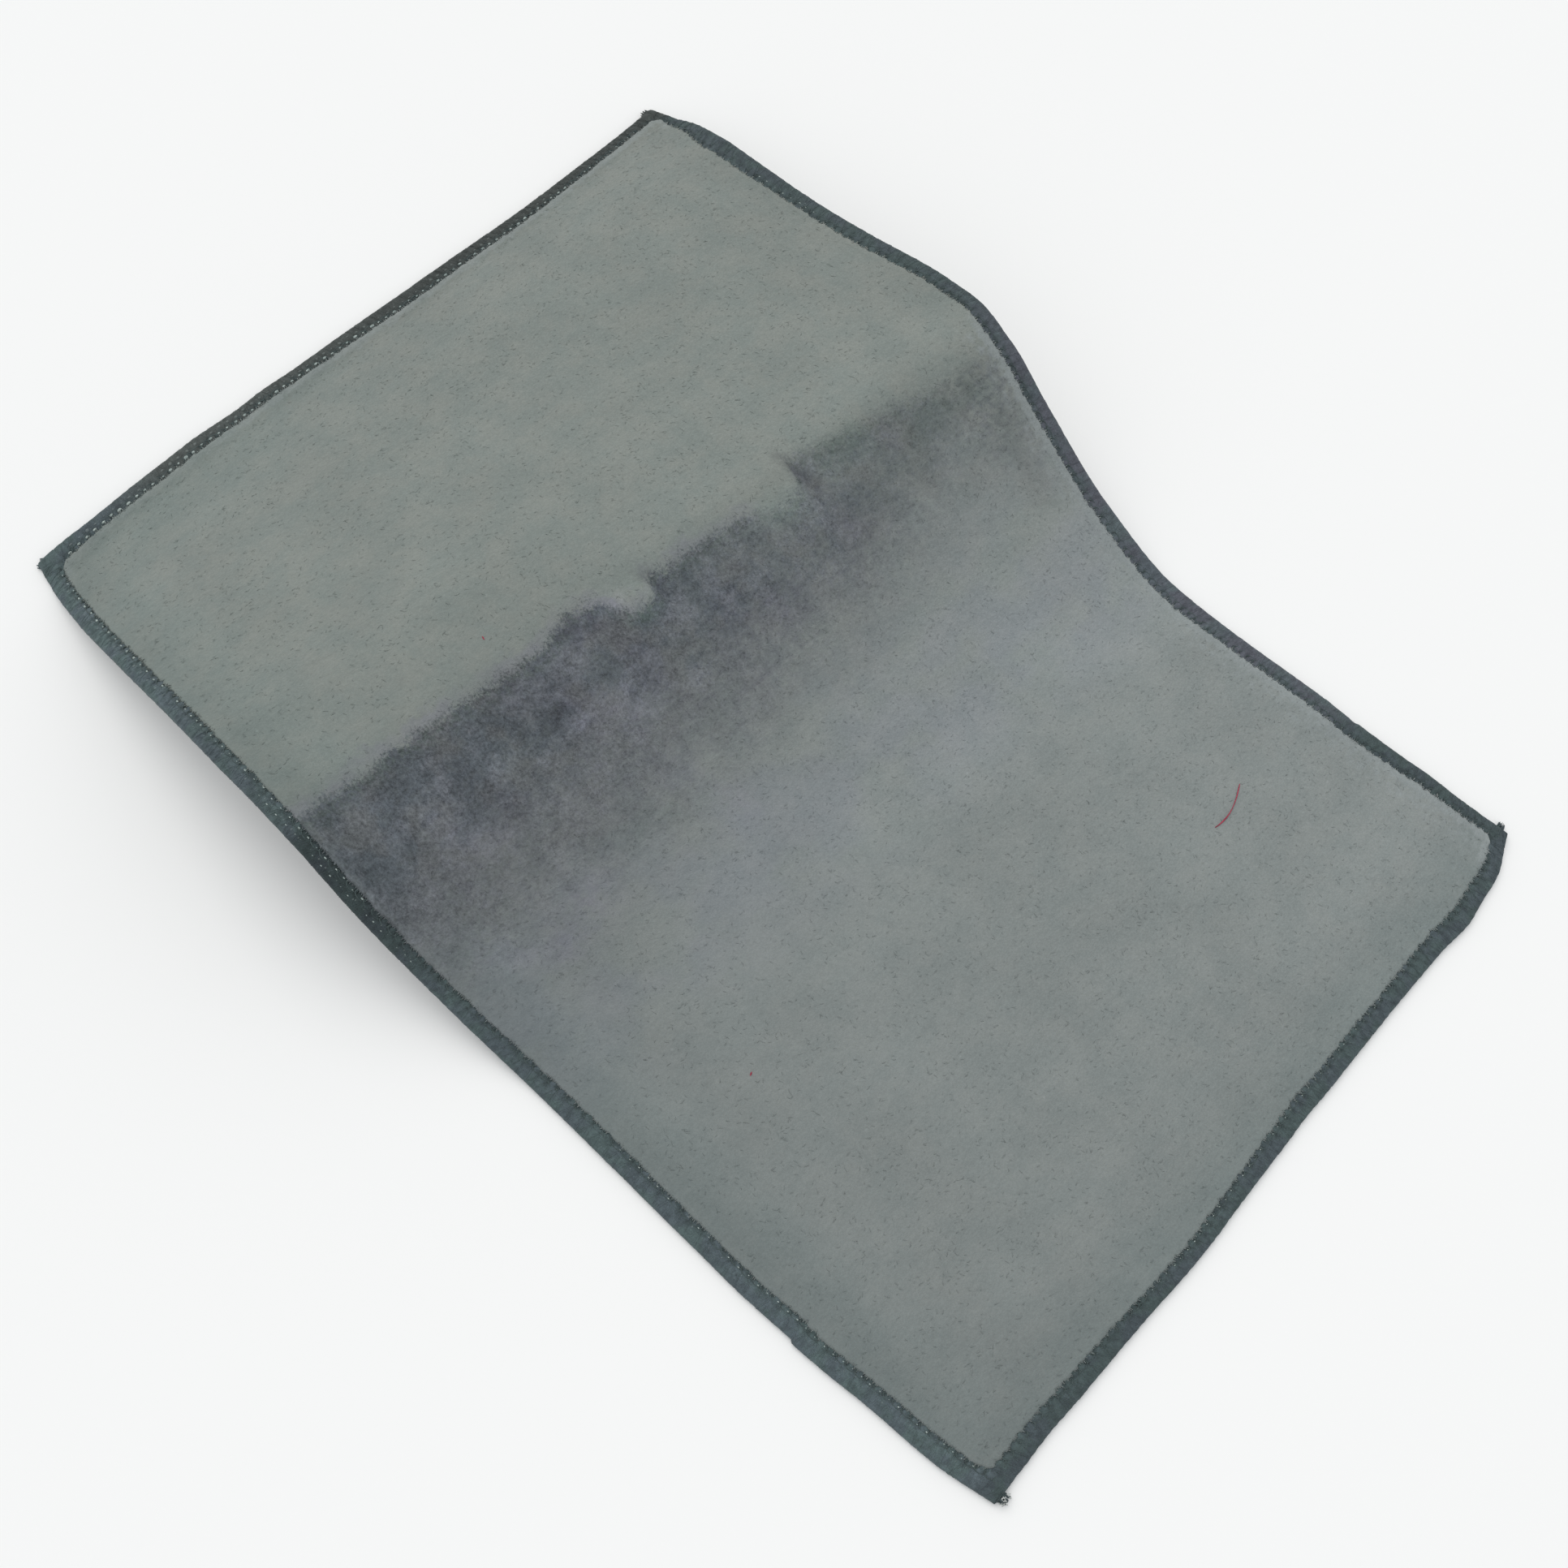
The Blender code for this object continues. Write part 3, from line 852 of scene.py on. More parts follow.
def shade_band_colour(place):
    """The band's painted shade: slate with lavender and brownish patches, greener along its upper
    edge, mottled, with painted glints and dark specks.
    """
    past = place.attribute("past")
    colour = place.noise(13.0, 4.0, 0.65).step(0.42, 0.64).between(BAND_SLATE, BAND_LAVENDER)
    brown = place.scaled(-1.0, 1.0).noise(15.0, 3.0, 0.6)
    colour = colour.toward(BAND_BROWN, brown.step(0.47, 0.64, 0.0, 0.9))
    colour = colour.toward(BAND_MAUVE, past.step(22.0, 42.0, 0.0, 0.60))
    specks = place.noise(2.2, 3.0, 0.7).step(0.42, 0.60, 0.0, 0.85)
    colour = colour.toward(BAND_GREEN, specks * past.step(8.5, 1.0))
    tufts = place.scaled(1.0, 0.8).noise(0.9, 3.0, 0.8)
    tone = tufts.step(0.30, 0.70, -0.31, 0.31)
    tone = tone + place.noise(7.0, 3.0, 0.7).step(0.34, 0.66, 0.89, 1.12)
    tone = tone + place.noise(2.3, 2.0, 0.6).step(0.32, 0.68, -0.12, 0.12)
    # Pale specks are painted glints of grazing light on the pile's tips; dark specks are painted
    # shade between them.
    painted_glint = place.scattered((1.3, 1.3), 2.8, 0.45, 0.06, 0.65)
    painted_dark_specks = place.scattered((1.0, 1.25), 2.5, 0.40, 0.07, -0.32)
    return colour.shaded(tone + (painted_glint + painted_dark_specks))


def broad_shade(across, along, near):
    """Painted light and shade by where the pile lies: lighter up the slope and on the crest,
    lighter to the right and darker to the near left. It is also darker beside the edging and
    towards the far side.
    """
    sideways = across.step(0.0, 110.0, -0.10, 0.0) + across.step(150.0, 270.0, 0.0, 0.07)
    # Painted light up the slope and on the crest.
    slope = along.step(140.0, 185.0) * along.step(275.0, 235.0)
    lift = slope * across.step(20.0, 200.0, 0.0, 0.125)
    crest = along.step(288.0, 298.0) * along.step(330.0, 304.0)
    crest = crest * across.step(60.0, 200.0, 0.01, 0.075)
    far_right = across.step(276.0, 294.0) * along.step(285.0, 320.0)
    beside = across.step(28.0, 9.0, 0.0, -0.11).smaller(along.step(38.0, 9.0, 0.0, -0.12))
    far_dark = along.step(415.0, 440.0, 0.0, -0.035)
    return (sideways + lift) * near + 1.0 + crest + beside + far_dark + far_right * -0.05


def ground_colour(place, across, along, near):
    """The pile's colour: grey-green, tan and greener in patches; bluer to the near side, which is
    painted cool light.
    """
    # Bluer towards the near side: painted cool light.
    colour = near.between(FAR_PILE, NEAR_PILE)
    tint = place.noise(13.0, 5.0, 0.65).step(0.34, 0.66).between(GREEN_TINT, WARM_TINT)
    colour = colour.tinted(tint, near * -0.5 + 1.0)
    lilac = place.scaled(1.0, 1.4).noise(36.0, 3.0).step(0.36, 0.58) * along.step(145.0, 195.0)
    colour = colour.tinted(LILAC_TINT, lilac * near)
    colour = colour.shaded(broad_shade(across, along, near))

    far_corner = along.step(400.0, 447.0) * across.step(150.0, 60.0)
    greener = across.step(42.0, 9.0).larger(along.step(32.0, 8.0)).larger(far_corner)
    colour = colour.tinted(RIM_GREEN, greener)
    ragged = place.noise(3.2) * 6.0 + place.attribute("inside")
    right = across.step(284.0, 291.0) * along.step(305.0, 288.0)
    far = along.step(438.0, 444.0) * across.step(50.0, 120.0, 0.25, 0.55)
    strip = (ragged - (right * 0.8 + 7.0)).step(0.0, -2.4, 0.0, 0.85)
    return colour.toward(RIM_PILE, strip * right.larger(far))


def pile_tone(place, across):
    """How much lighter or darker single tufts and larger clouds of the pile are."""
    grain = place.scaled(1.0, 1.3).noise(0.8, 2.0, 0.7).step(0.25, 0.75, -1.0, 1.0)
    tone = place.noise(26.0, 6.0, 0.76).step(0.28, 0.72, 0.93, 1.07)
    tone = tone + grain * across.step(50.0, 190.0, 0.068, 0.088)
    tone = tone + place.scaled(0.8, 1.2).noise(6.0, 3.0, 0.6).step(0.58, 0.72, 0.0, -0.05)
    tone = tone + place.scaled(0.10, 1.0).noise(1.2, 1.0).step(0.3, 0.7, -0.015, 0.015)
    for marks in [
        ((0.45, 1.3), 5.0, 0.55, 0.08, -0.22),
        ((1.3, 0.5), 6.0, 0.60, 0.06, -0.18),
        ((0.8, 1.1), 6.5, 0.62, 0.05, 0.20),
        ((1.0, 1.0), 21.0, 0.40, 0.00, -0.40),
    ]:
        tone = tone + place.scattered(*marks)
    return tone


def with_painted_marks(place, colour):
    """The colour with the soft marks of painted shade and light on it, their outlines a little
    broken up.
    """
    broken = place.noise(4.0, 3.0, 0.65).step(0.30, 0.60, 0.45, 1.25)
    lilac = place.attribute("lilac") * broken
    colour = colour.shaded(place.attribute("shade") * broken + 1.0)
    colour = colour.tinted(MARK_LILAC, lilac.larger(0.0))
    return colour.tinted(MARK_GREEN, (lilac * -1.0).larger(0.0))


def pile_material():
    """Short velour pile: grey-green, with painted cool light towards the near side and the dark
    band of painted shade.
    """
    material, shader = new_material("pile", 0.95, sheen=0.12, sheen_roughness=0.6, specular=0.15)
    place = place_in(material)
    across, along = place.part("X"), place.part("Y")
    colour = ground_colour(place, across, along, along.step(300.0, 170.0))
    # A darker, bluer seam of painted shade along the band's upper edge, on the left part of the
    # crest.
    wander = place.noise(3.5, 3.0) * 10.0 + place.attribute("past")
    above = wander.step(-1.0, 3.5) * wander.step(9.0, 5.0)
    above = above * place.noise(17.0).step(0.35, 0.6, 0.2, 0.8) * across.step(215.0, 150.0)
    colour = colour.toward(SHADE_EDGE_PILE, above)
    colour = colour.toward(shade_band_colour(place), shade_band_mask(place, across))
    colour = with_painted_marks(place, colour).shaded(pile_tone(place, across))
    clumps = place.noise(2.6, 2.0, 0.6)
    fine = place.scaled(1.0, 1.2).noise(0.45, 2.0, 0.6)
    feed(colour, shader.inputs["Base Color"])
    feed(fine.bump(0.16, clumps.bump(0.45)), shader.inputs["Normal"])
    return material


def yarn_shading(place):
    """How dark the edging is by where it is, with painted shade where the band crosses the left
    side, and how much of it is plum coloured or brownish.
    """
    across, along = place.part("X"), place.part("Y")
    at_right, at_far = across.step(293.0, 299.0), along.step(446.0, 451.0)
    middle = along.step(60.0, 100.0) * along.step(330.0, 265.0)
    right = at_right * (middle * -0.30 + 0.36)
    far = at_far * across.step(60.0, 190.0, 0.20, 0.42)
    near = along.step(10.0, 5.0) * across.step(60.0, 110.0, 0.34, 0.27)
    left = along.step(60.0, 150.0, 0.07, 0.18) * along.step(365.0, 320.0, 0.2, 1.0)
    # The band's painted shade falls on the left edging too.
    band = place.attribute("past").step(-2.0, 5.0) * place.attribute("depth")
    dark = near.larger(right).larger(far).larger(left * across.step(12.0, 8.0))
    dark = dark.larger(band * across.step(40.0, 10.0, 0.10, 0.55))
    return dark, at_right * middle, at_far * across.step(20.0, 60.0)


def yarn_material(name, lift=1.0, pale=0.0):
    """Woolly overlock yarn: teal grey with bluish patches, darker where it dives into the pile."""
    material, shader = new_material(name, 0.9, sheen=0.08, sheen_roughness=0.5, specular=0.15)
    place = place_in(material)
    dark, plum, brown = yarn_shading(place)
    colour = place.noise(8.0, 3.0).step(0.40, 0.60).between(YARN_TEAL, YARN_BLUE)
    colour = colour.toward(YARN_PLUM, plum * place.noise(11.0).step(0.36, 0.60, 0.35, 1.0))
    colour = colour.toward(YARN_BROWN, brown)
    dips = place.noise(1.8, 3.0, 0.6).step(0.40, 0.58, 0.75, 0.0)
    colour = colour.toward(YARN_DARK, place.attribute("inside").step(-3.4, -0.8) * dips)
    colour = colour.shaded(1.0 - dark)
    clouds = place.noise(3.0, 3.0, 0.65)
    colour = colour.shaded(clouds.step(0.3, 0.7, 0.84 * lift, 1.16 * lift))
    fibres = place.scaled(1.0, 1.0, 2.0).noise(0.5, 3.0, 0.7)
    colour = colour.shaded(fibres.step(0.25, 0.75, 0.80, 1.20)).toward(YARN_PALE, pale)
    feed(colour, shader.inputs["Base Color"])
    feed(fibres.bump(0.2), shader.inputs["Normal"])
    return material


def plain_yarn(name, low, high):
    """A small piece of loose yarn or fibre, its colour varying a little along it."""
    material, shader = new_material(name, 0.85, sheen=0.1, sheen_roughness=0.5, specular=0.2)
    fibres = place_in(material).noise(0.7)
    feed(fibres.step(0.35, 0.65).between(low, high), shader.inputs["Base Color"])
    feed(fibres.bump(0.15), shader.inputs["Normal"])
    return material


# ---------------------------------------------------------------- the cloth panel
def cut_lines(length):
    """Mesh lines across a dimension of the cut: close together near its two borders."""
    border = [CLOTH_INSET, 2.5, 4.0, 4.8, 5.4, 5.9]
    border += list(np.arange(6.3, 10.4, 0.42)) + [11.0, 11.8, 12.8, 14.0]
    inner = length - 2 * border[-1]
    cells = 2 * round(inner / FACE_STEP / 2)
    middle = [border[-1] + inner * cell / cells for cell in range(1, cells)]
    lines = border + middle + [length - line for line in reversed(border)]
    return np.array(lines)


def bank(inside):
    """The pile's bank beside the edging: nought where it is pressed, 1 where it is full."""
    return smooth(np.clip(inside / PILE_RISE + 0.5, 0, 1))


def pile_height(across, along):
    """Height of the cloth's upper face above its underside."""
    inside = inside_pile(across, along)
    puff = PILE_PUFF * hill(np.clip(inside, 0, None), PUFF_REACH)
    nap = sum(height * soft_noise(across, along, cell, seed) for height, cell, seed in NAP)
    tufts = 0.16 * soft_noise(across, along, 2.1, 34) * hill(inside, 3.0)
    full = CLOTH_THICK + puff + nap + tufts
    return PRESSED_HIGH + (full - PRESSED_HIGH) * bank(inside)


def pile_foot(across, along):
    """Height of the cloth's lower face: nought in the open, raised where the edging holds it."""
    return PRESSED_LOW * (1 - bank(inside_pile(across, along)))


def cloth_panel(material):
    """The panel as one closed shell. Its lower face has every second line of the upper one."""
    columns, rows = cut_lines(CUT_WIDTH), cut_lines(CUT_LENGTH)
    upper = np.stack(np.meshgrid(columns, rows), axis=-1).reshape(-1, 2)
    low_columns, low_rows = np.arange(0, len(columns), 2), np.arange(0, len(rows), 2)
    lower = np.stack(np.meshgrid(columns[low_columns], rows[low_rows]), axis=-1).reshape(-1, 2)
    flat = np.vstack([
        np.column_stack([upper, pile_height(*upper.T)]),
        np.column_stack([lower, pile_foot(*lower.T)]),
    ])
    wide, deep = len(columns), len(rows)
    few_wide, few_deep, base = len(low_columns), len(low_rows), len(upper)
    faces = grid_faces(deep, wide).tolist()
    faces += grid_faces(few_deep, few_wide, base, flip=True).tolist()

    def wall(high, low, turned):
        """The rim along one side: each low edge meets two high ones."""
        for k in range(len(low) - 1):
            a, b, c = high[2 * k], high[2 * k + 1], high[2 * k + 2]
            for face in ([low[k], b, a], [low[k], low[k + 1], b], [low[k + 1], c, b]):
                faces.append(face[::-1] if turned else face)

    near_high, near_low = np.arange(wide), base + np.arange(few_wide)
    left_high, left_low = np.arange(deep) * wide, base + np.arange(few_deep) * few_wide
    wall(near_high, near_low, False)
    wall(near_high + (deep - 1) * wide, near_low + (few_deep - 1) * few_wide, True)
    wall(left_high, left_low, True)
    wall(left_high + wide - 1, left_low + few_wide - 1, False)
    return add_piece("cloth_panel", flat, faces, material)


def pile_fringe(material):
    """Tufts of pile that lean out over the edging all round its inner line."""
    rng = np.random.default_rng(41)
    paths, radii = [], []
    for side in SIDES:
        for row in range(2):
            run = np.arange(FRINGE_CLEAR, side.length - FRINGE_CLEAR, WRAP_STEP)
            run = run + rng.uniform(-0.3, 0.3, len(run))
            start = rounded_border(side, run) + teeth(side, run)
            base = start + 0.5 + 0.5 * row + rng.uniform(-0.2, 0.3, len(run))
            reach = rng.uniform(0.5, 1.3, len(run)) * (1.0 if row == 0 else 0.8)
            lean = rng.uniform(-0.5, 0.5, len(run))
            top = CLOTH_THICK + PILE_PUFF * 0.6 + rng.uniform(-0.15, 0.35, len(run))
            points = [
                on_cut(side, run, base, 1.9),
                on_cut(side, run + 0.3 * lean, base - 0.25 * reach, top - 0.15),
                on_cut(side, run + 0.7 * lean, base - 0.70 * reach, top),
                on_cut(side, run + lean, base - reach, top - 0.35 - 0.2 * reach),
            ]
            paths.append(np.stack(points, axis=1))
            thick = rng.uniform(0.16, 0.27, len(run))
            radii.append(thick[:, None] * np.array([1.0, 0.95, 0.7, 0.15]))
    flat, faces = tubes(np.vstack(paths), np.vstack(radii), 3)
    return add_piece("pile_fringe", flat, faces, material)


def nap_fibres(material):
    """Single longer fibres that lie over the pile."""
    rng = np.random.default_rng(43)
    count = 11000
    rim = 9
    across = rng.uniform(rim, CUT_WIDTH - rim, count)
    along = rng.uniform(rim, CUT_LENGTH - rim, count)
    keep = inside_pile(across, along) > 0.8
    across, along = across[keep], along[keep]
    count = len(across)
    heading = rng.normal(-0.5, 0.9, count)
    length = rng.uniform(0.9, 2.2, count)
    bend = rng.normal(0, 0.3, count)
    top = pile_height(across, along)
    points = []
    for share, height in [(0.0, -0.12), (0.5, 0.16), (1.0, 0.02)]:
        x = across + length * share * np.cos(heading + bend * share)
        y = along + length * share * np.sin(heading + bend * share)
        points.append(np.stack([x, y, top + height], axis=-1))
    radii = rng.uniform(0.05, 0.09, count)[:, None] * np.array([1.0, 0.9, 0.3])
    flat, faces = tubes(np.stack(points, axis=1), radii, 3)
    return add_piece("nap_fibres", flat, faces, material)


# ---------------------------------------------------------------- the overlocked edging
def turned(side):
    """Whether run, inset and height make a left-handed frame on this side."""
    return side.name in ("left", "far")


def side_span(side, tucked=3.0):
    """Where the side's edging starts and ends. A short side's is tucked into the long sides'."""
    if side.name in ("left", "right"):
        return 0.0, side.length
    return tucked, side.length - tucked


def wrap_width(side, run):
    """The edging's width: it reaches just under the pile's bank."""
    return rounded_border(side, run) + WRAP_UNDER


def wrap_surface(side, run, turn, proud=0.0):
    """Inset and height on the edging's outer face. turn goes from 0 at the inner line on top,
    round the outer edge between 1 and NOSE_END, to 2 at the inner line underneath."""
    width = wrap_width(side, run)
    middle = WRAP_TOP / 2
    share = np.clip(turn, 0, 1)
    angle = np.clip((turn - 1) / (NOSE_END - 1), 0, 1) * math.pi
    under = np.clip((turn - NOSE_END) / (2 - NOSE_END), 0, 1)
    inset = np.where(
        turn < 1, width - (width - WRAP_NOSE) * share,
        np.where(turn < NOSE_END, WRAP_NOSE - (WRAP_NOSE + proud) * np.sin(angle),
                 WRAP_NOSE + (width - WRAP_NOSE) * under))
    height = np.where(
        turn < 1, WRAP_TOP + proud + WRAP_CROWN * np.sin(math.pi * share ** 1.3),
        np.where(turn < NOSE_END, middle + (middle + proud) * np.cos(angle), 0.0 * run))
    return inset, np.maximum(height, 0.0)


def ribs(side, run, turn):
    """How far the wrapped yarn stands out: a hump for each stitch, deepest near the pile."""
    phase = 2 * math.pi * run / STITCH
    share = np.clip(turn, 0, NOSE_END)
    weave = np.cos(phase + math.pi * share) + np.cos(phase - math.pi * share)
    depth = RIB_DEPTHS[side.name] * (0.10 * np.exp(-1.6 * share) + 0.025)
    fuzz = (0.07 * soft_noise(run, 7 * turn, 1.1, side.seed + 40)
            + 0.06 * soft_noise(run, 7 * turn, 2.6, side.seed + 50))
    return depth * weave + fuzz


def wrap_body(side, material):
    """The edging's body: dense yarn round a slot that holds the cloth."""
    start, end = side_span(side)
    runs = np.linspace(start, end, round((end - start) / WRAP_STEP) + 1)
    run, turn = (part.ravel() for part in np.meshgrid(runs, TURNS, indexing="ij"))
    inset, height = wrap_surface(side, run, turn, ribs(side, run, turn))
    outer = np.stack([run, inset, height], axis=-1).reshape(len(runs), len(TURNS), 3)
    width = wrap_width(side, runs)
    low, high = WRAP_WALL, WRAP_TOP - WRAP_WALL + 0.1
    slot = np.stack([
        np.stack(np.broadcast_arrays(runs, inset, height), axis=1) for inset, height in [
            (width, low), (SLOT_DEPTH, low), (SLOT_DEPTH, high), (width, high)]
    ], axis=1)
    rings = np.concatenate([outer, slot], axis=1)
    from_end = np.minimum(runs - start, end - runs)
    plump = 0.42 + 0.58 * np.sqrt(1 - (1 - np.clip(from_end / WRAP_NOSE, 0, 1)) ** 2)
    middle = WRAP_TOP / 2
    rings[..., 2] = np.maximum(middle + (rings[..., 2] - middle) * plump[:, None], 0.0)
    count, around = rings.shape[:2]
    flat = on_cut(side, *rings.reshape(-1, 3).T)
    faces = ring_faces(count, around)
    if turned(side):
        faces = faces[:, ::-1]
    faces = faces.tolist()
    for first, flip in ((0, not turned(side)), ((count - 1) * around, turned(side))):
        faces += end_lip(first, flip)
    return add_piece(f"edging_{side.name}_wrap", flat, faces, material)


def end_lip(first, flip):
    """Faces that close one end of the edging's C-shaped section, whose ring begins at first."""
    outer = len(TURNS)
    bottom_in, bottom_out, top_out, top_in = (first + outer + k for k in range(4))
    faces = []
    for k in range(outer - 1):
        hub = top_out if k < OUTERMOST else bottom_out
        faces.append([first + k, first + k + 1, hub])
    faces.append([first + OUTERMOST, bottom_out, top_out])
    faces.append([first + outer - 1, bottom_in, bottom_out])
    faces.append([first, top_out, top_in])
    return [face[::-1] for face in faces] if flip else faces


def wrap_filaments(side, material):
    """Strands of the looper yarns: they fan from each needle stitch round the outer edge."""
    rng = np.random.default_rng(side.seed + 60)
    start, end = side_span(side, tucked=5.0)
    stitches = np.arange(math.ceil(start / STITCH) + 0.5, math.floor(end / STITCH), 1.0) * STITCH
    slant = 0.0 * stitches
    if side.name == "right":
        slant = np.interp(stitches, [300.0, 345.0], [0.0, 2.6])
    share = np.linspace(0, 1, 8)
    paths, radii = [], []
    for leg in (-1, 1):
        for strand in range(4):
            offset = (strand - 1.5) * 0.42 + rng.uniform(-0.35, 0.35, len(stitches))
            reach = leg * 0.5 * STITCH + 0.3 * offset + slant
            run = (stitches + offset * 0.7)[:, None] + reach[:, None] * share
            run += 0.12 * soft_noise(run, share * 9, 1.3, side.seed + 70 + strand)
            run = np.clip(run, start + 0.2, end - 0.2)
            turn = 0.16 + rng.uniform(-0.05, 0.05, len(stitches))[:, None] + share * 1.34
            proud = ribs(side, run, turn) - 0.03 + 0.07 * rng.uniform(0, 1, len(stitches))[:, None]
            inset, height = wrap_surface(side, run, turn, proud)
            points = on_cut(side, run, inset, height).reshape(len(stitches), len(share), 3)
            paths.append(points)
            thick = rng.uniform(0.06, 0.15, len(stitches))
            radii.append(thick[:, None] * np.array([0.5, 0.9, 1, 1, 1, 1, 0.9, 0.5]))
    flat, faces = tubes(np.vstack(paths), np.vstack(radii), 4)
    return add_piece(f"edging_{side.name}_filaments", flat, faces, material)


def needle_line(side, run):
    """Inset of the needle stitches: on the needle line, or closer in where the pile overhangs."""
    return np.minimum(NEEDLE_LINE, plain_border(side, run) - NEEDLE_CLEAR)


def stitch_loops(side, material):
    """The looper thread: one running line that makes a small loop round each needle stitch."""
    start, end = side_span(side, tucked=6.6)
    first, last = math.ceil(start / STITCH) + 1, math.floor(end / STITCH) - 1
    count = last - first
    turn = np.linspace(0, count * 2 * math.pi, count * LOOP_POINTS + 1)
    run = STITCH * (first + turn / (2 * math.pi)) + LOOP_HALF_LENGTH * np.sin(turn)
    wander = soft_noise(turn, 0.0 * turn, 5.0, side.seed + 80)
    inset = needle_line(side, run) - LOOP_HALF_WIDTH * np.cos(turn) + 0.22 * wander
    height = WRAP_TOP + 0.22 + 0.08 * np.sin(turn) + 0.08 * wander
    path = on_cut(side, run, inset, height)[None]
    radius = np.full((1, len(turn)), LOOP_THREAD)
    flat, faces = tubes(path, radius, 5)
    return add_piece(f"edging_{side.name}_loops", flat, faces, material)


def dot_places(side, rng):
    """Where the side's pale dots are, how large each is, and how far out from the needle line."""
    runs, sizes, outs = [], [], []
    for row in DOTS:
        if row.side == side.name:
            places = np.arange(row.start, row.end, row.pitch)
            keep = rng.uniform(0, 1, len(places)) < 0.92
            runs.append((places + rng.normal(0, 0.22, len(places)))[keep])
            sizes.append((row.size * rng.uniform(0.55, 1.1, len(places)))[keep])
            outs.append(np.full(keep.sum(), row.out))
    return np.concatenate(runs), np.concatenate(sizes), np.concatenate(outs)


def needle_stitches(side, material):
    """A pale dot of needle thread inside each loop where the needle's thread shows."""
    rng = np.random.default_rng(side.seed + 90)
    runs, scale, out = dot_places(side, rng)
    inset = needle_line(side, runs) - out + rng.normal(0, 0.14, len(runs))
    height = WRAP_TOP + 0.24 + 0.08 * (out > 0) + rng.normal(0, 0.04, len(runs))
    centres = on_cut(side, runs, inset, height)
    long, wide, high = DOT_SHAPE
    sizes = [long * scale, wide * scale * rng.uniform(0.8, 1.1, len(runs)), high * scale]
    if side.name in ("left", "right"):
        sizes[0], sizes[1] = sizes[1], sizes[0]
    sizes = np.column_stack(sizes)
    flat, faces = beads(centres, sizes)
    return add_piece(f"edging_{side.name}_needle", flat, faces, material)


def looper_knots(side, material):
    """A second, weaker row further out, where the looper yarns cross between the stitches."""
    rng = np.random.default_rng(side.seed + 95)
    runs, scale, _ = dot_places(side, rng)
    runs = runs + 0.4 * STITCH
    inset = needle_line(side, runs) - 1.7 + rng.normal(0, 0.25, len(runs))
    centres = on_cut(side, runs, inset, WRAP_TOP + WRAP_CROWN - 0.05)
    long, wide, high = KNOT_SHAPE
    beside = wide * scale * rng.uniform(0.6, 1.2, len(runs))
    sizes = np.column_stack([long * scale, beside, high * scale])
    flat, faces = beads(centres, sizes)
    return add_piece(f"edging_{side.name}_knots", flat, faces, material)


# ---------------------------------------------------------------- corner tails and lint
# The clipped thread chain at each corner: where it leaves the cut and where it points, in mm.
Tail = namedtuple("Tail", "name across along to_across to_along spread strands seed")
TAILS = [
    Tail("near_left",    3.0,   2.0,   3.3,  -2.9, 2.3, 36, 1),
    Tail("near_right", 302.2,   4.4, 307.4,   3.0, 2.4, 26, 2),
    Tail("far_right",  301.8, 453.5, 302.4, 458.8, 2.4, 26, 3),
    Tail("far_left",     3.4, 453.6,   0.4, 457.4, 2.6, 28, 4),
]


def corner_tail(tail, material):
    """A short brush of twisted yarn ends."""
    rng = np.random.default_rng(tail.seed)
    start = np.array([tail.across, tail.along, EDGE_MIDDLE])
    end = np.array([tail.to_across, tail.to_along, 0.9])
    share = np.linspace(0, 1, 6)
    angle = rng.uniform(0, 2 * math.pi, tail.strands)
    reach = tail.spread * np.sqrt(rng.uniform(0, 1, tail.strands))
    run = end - start
    beside = np.array([-run[1], run[0], 0.0]) / np.linalg.norm(run[:2])
    paths = []
    for turn, radius in zip(angle, reach):
        length = rng.uniform(0.75, 1.05)
        twist = turn + 0.9 * share
        sway = radius * (1.0 - 0.25 * share)
        height = 0.55 * np.minimum(sway, 1.5) * np.sin(twist)
        points = start + np.outer(share * length, run) + np.outer(sway * np.cos(twist), beside)
        points[:, 2] += height
        paths.append(points)
    paths = np.array(paths)
    paths[..., 2] = np.clip(paths[..., 2], 0.3, 2.6)
    radii = rng.uniform(0.22, 0.34, tail.strands)[:, None] * np.array([1, 1, 1, 1, 0.9, 0.55])
    flat, faces = tubes(paths, radii, 6)
    return add_piece(f"corner_tail_{tail.name}", flat, faces, material)


def pale_tuft(material):
    """A whitish wisp of ground yarn that shows at the tip of the near left corner."""
    rng = np.random.default_rng(7)
    share = np.linspace(0, 1, 5)
    paths = []
    for _ in range(22):
        start = np.array([rng.uniform(0.6, 5.0), rng.uniform(-2.2, -0.3), rng.uniform(1.8, 2.7)])
        run = np.array([rng.uniform(-0.6, 0.8), rng.uniform(-0.9, -0.1), rng.uniform(-0.2, 0.3)])
        curl = rng.normal(0, 0.22, 3)
        points = start + np.outer(share, run) + np.outer(np.sin(math.pi * share), curl)
        points[:, 2] = np.clip(points[:, 2], 0.4, 3.0)
        paths.append(points)
    radii = rng.uniform(0.14, 0.26, len(paths))[:, None] * np.array([0.7, 1, 1, 0.9, 0.6])
    flat, faces = tubes(np.array(paths), radii, 5)
    return add_piece("corner_pale_tuft", flat, faces, material)


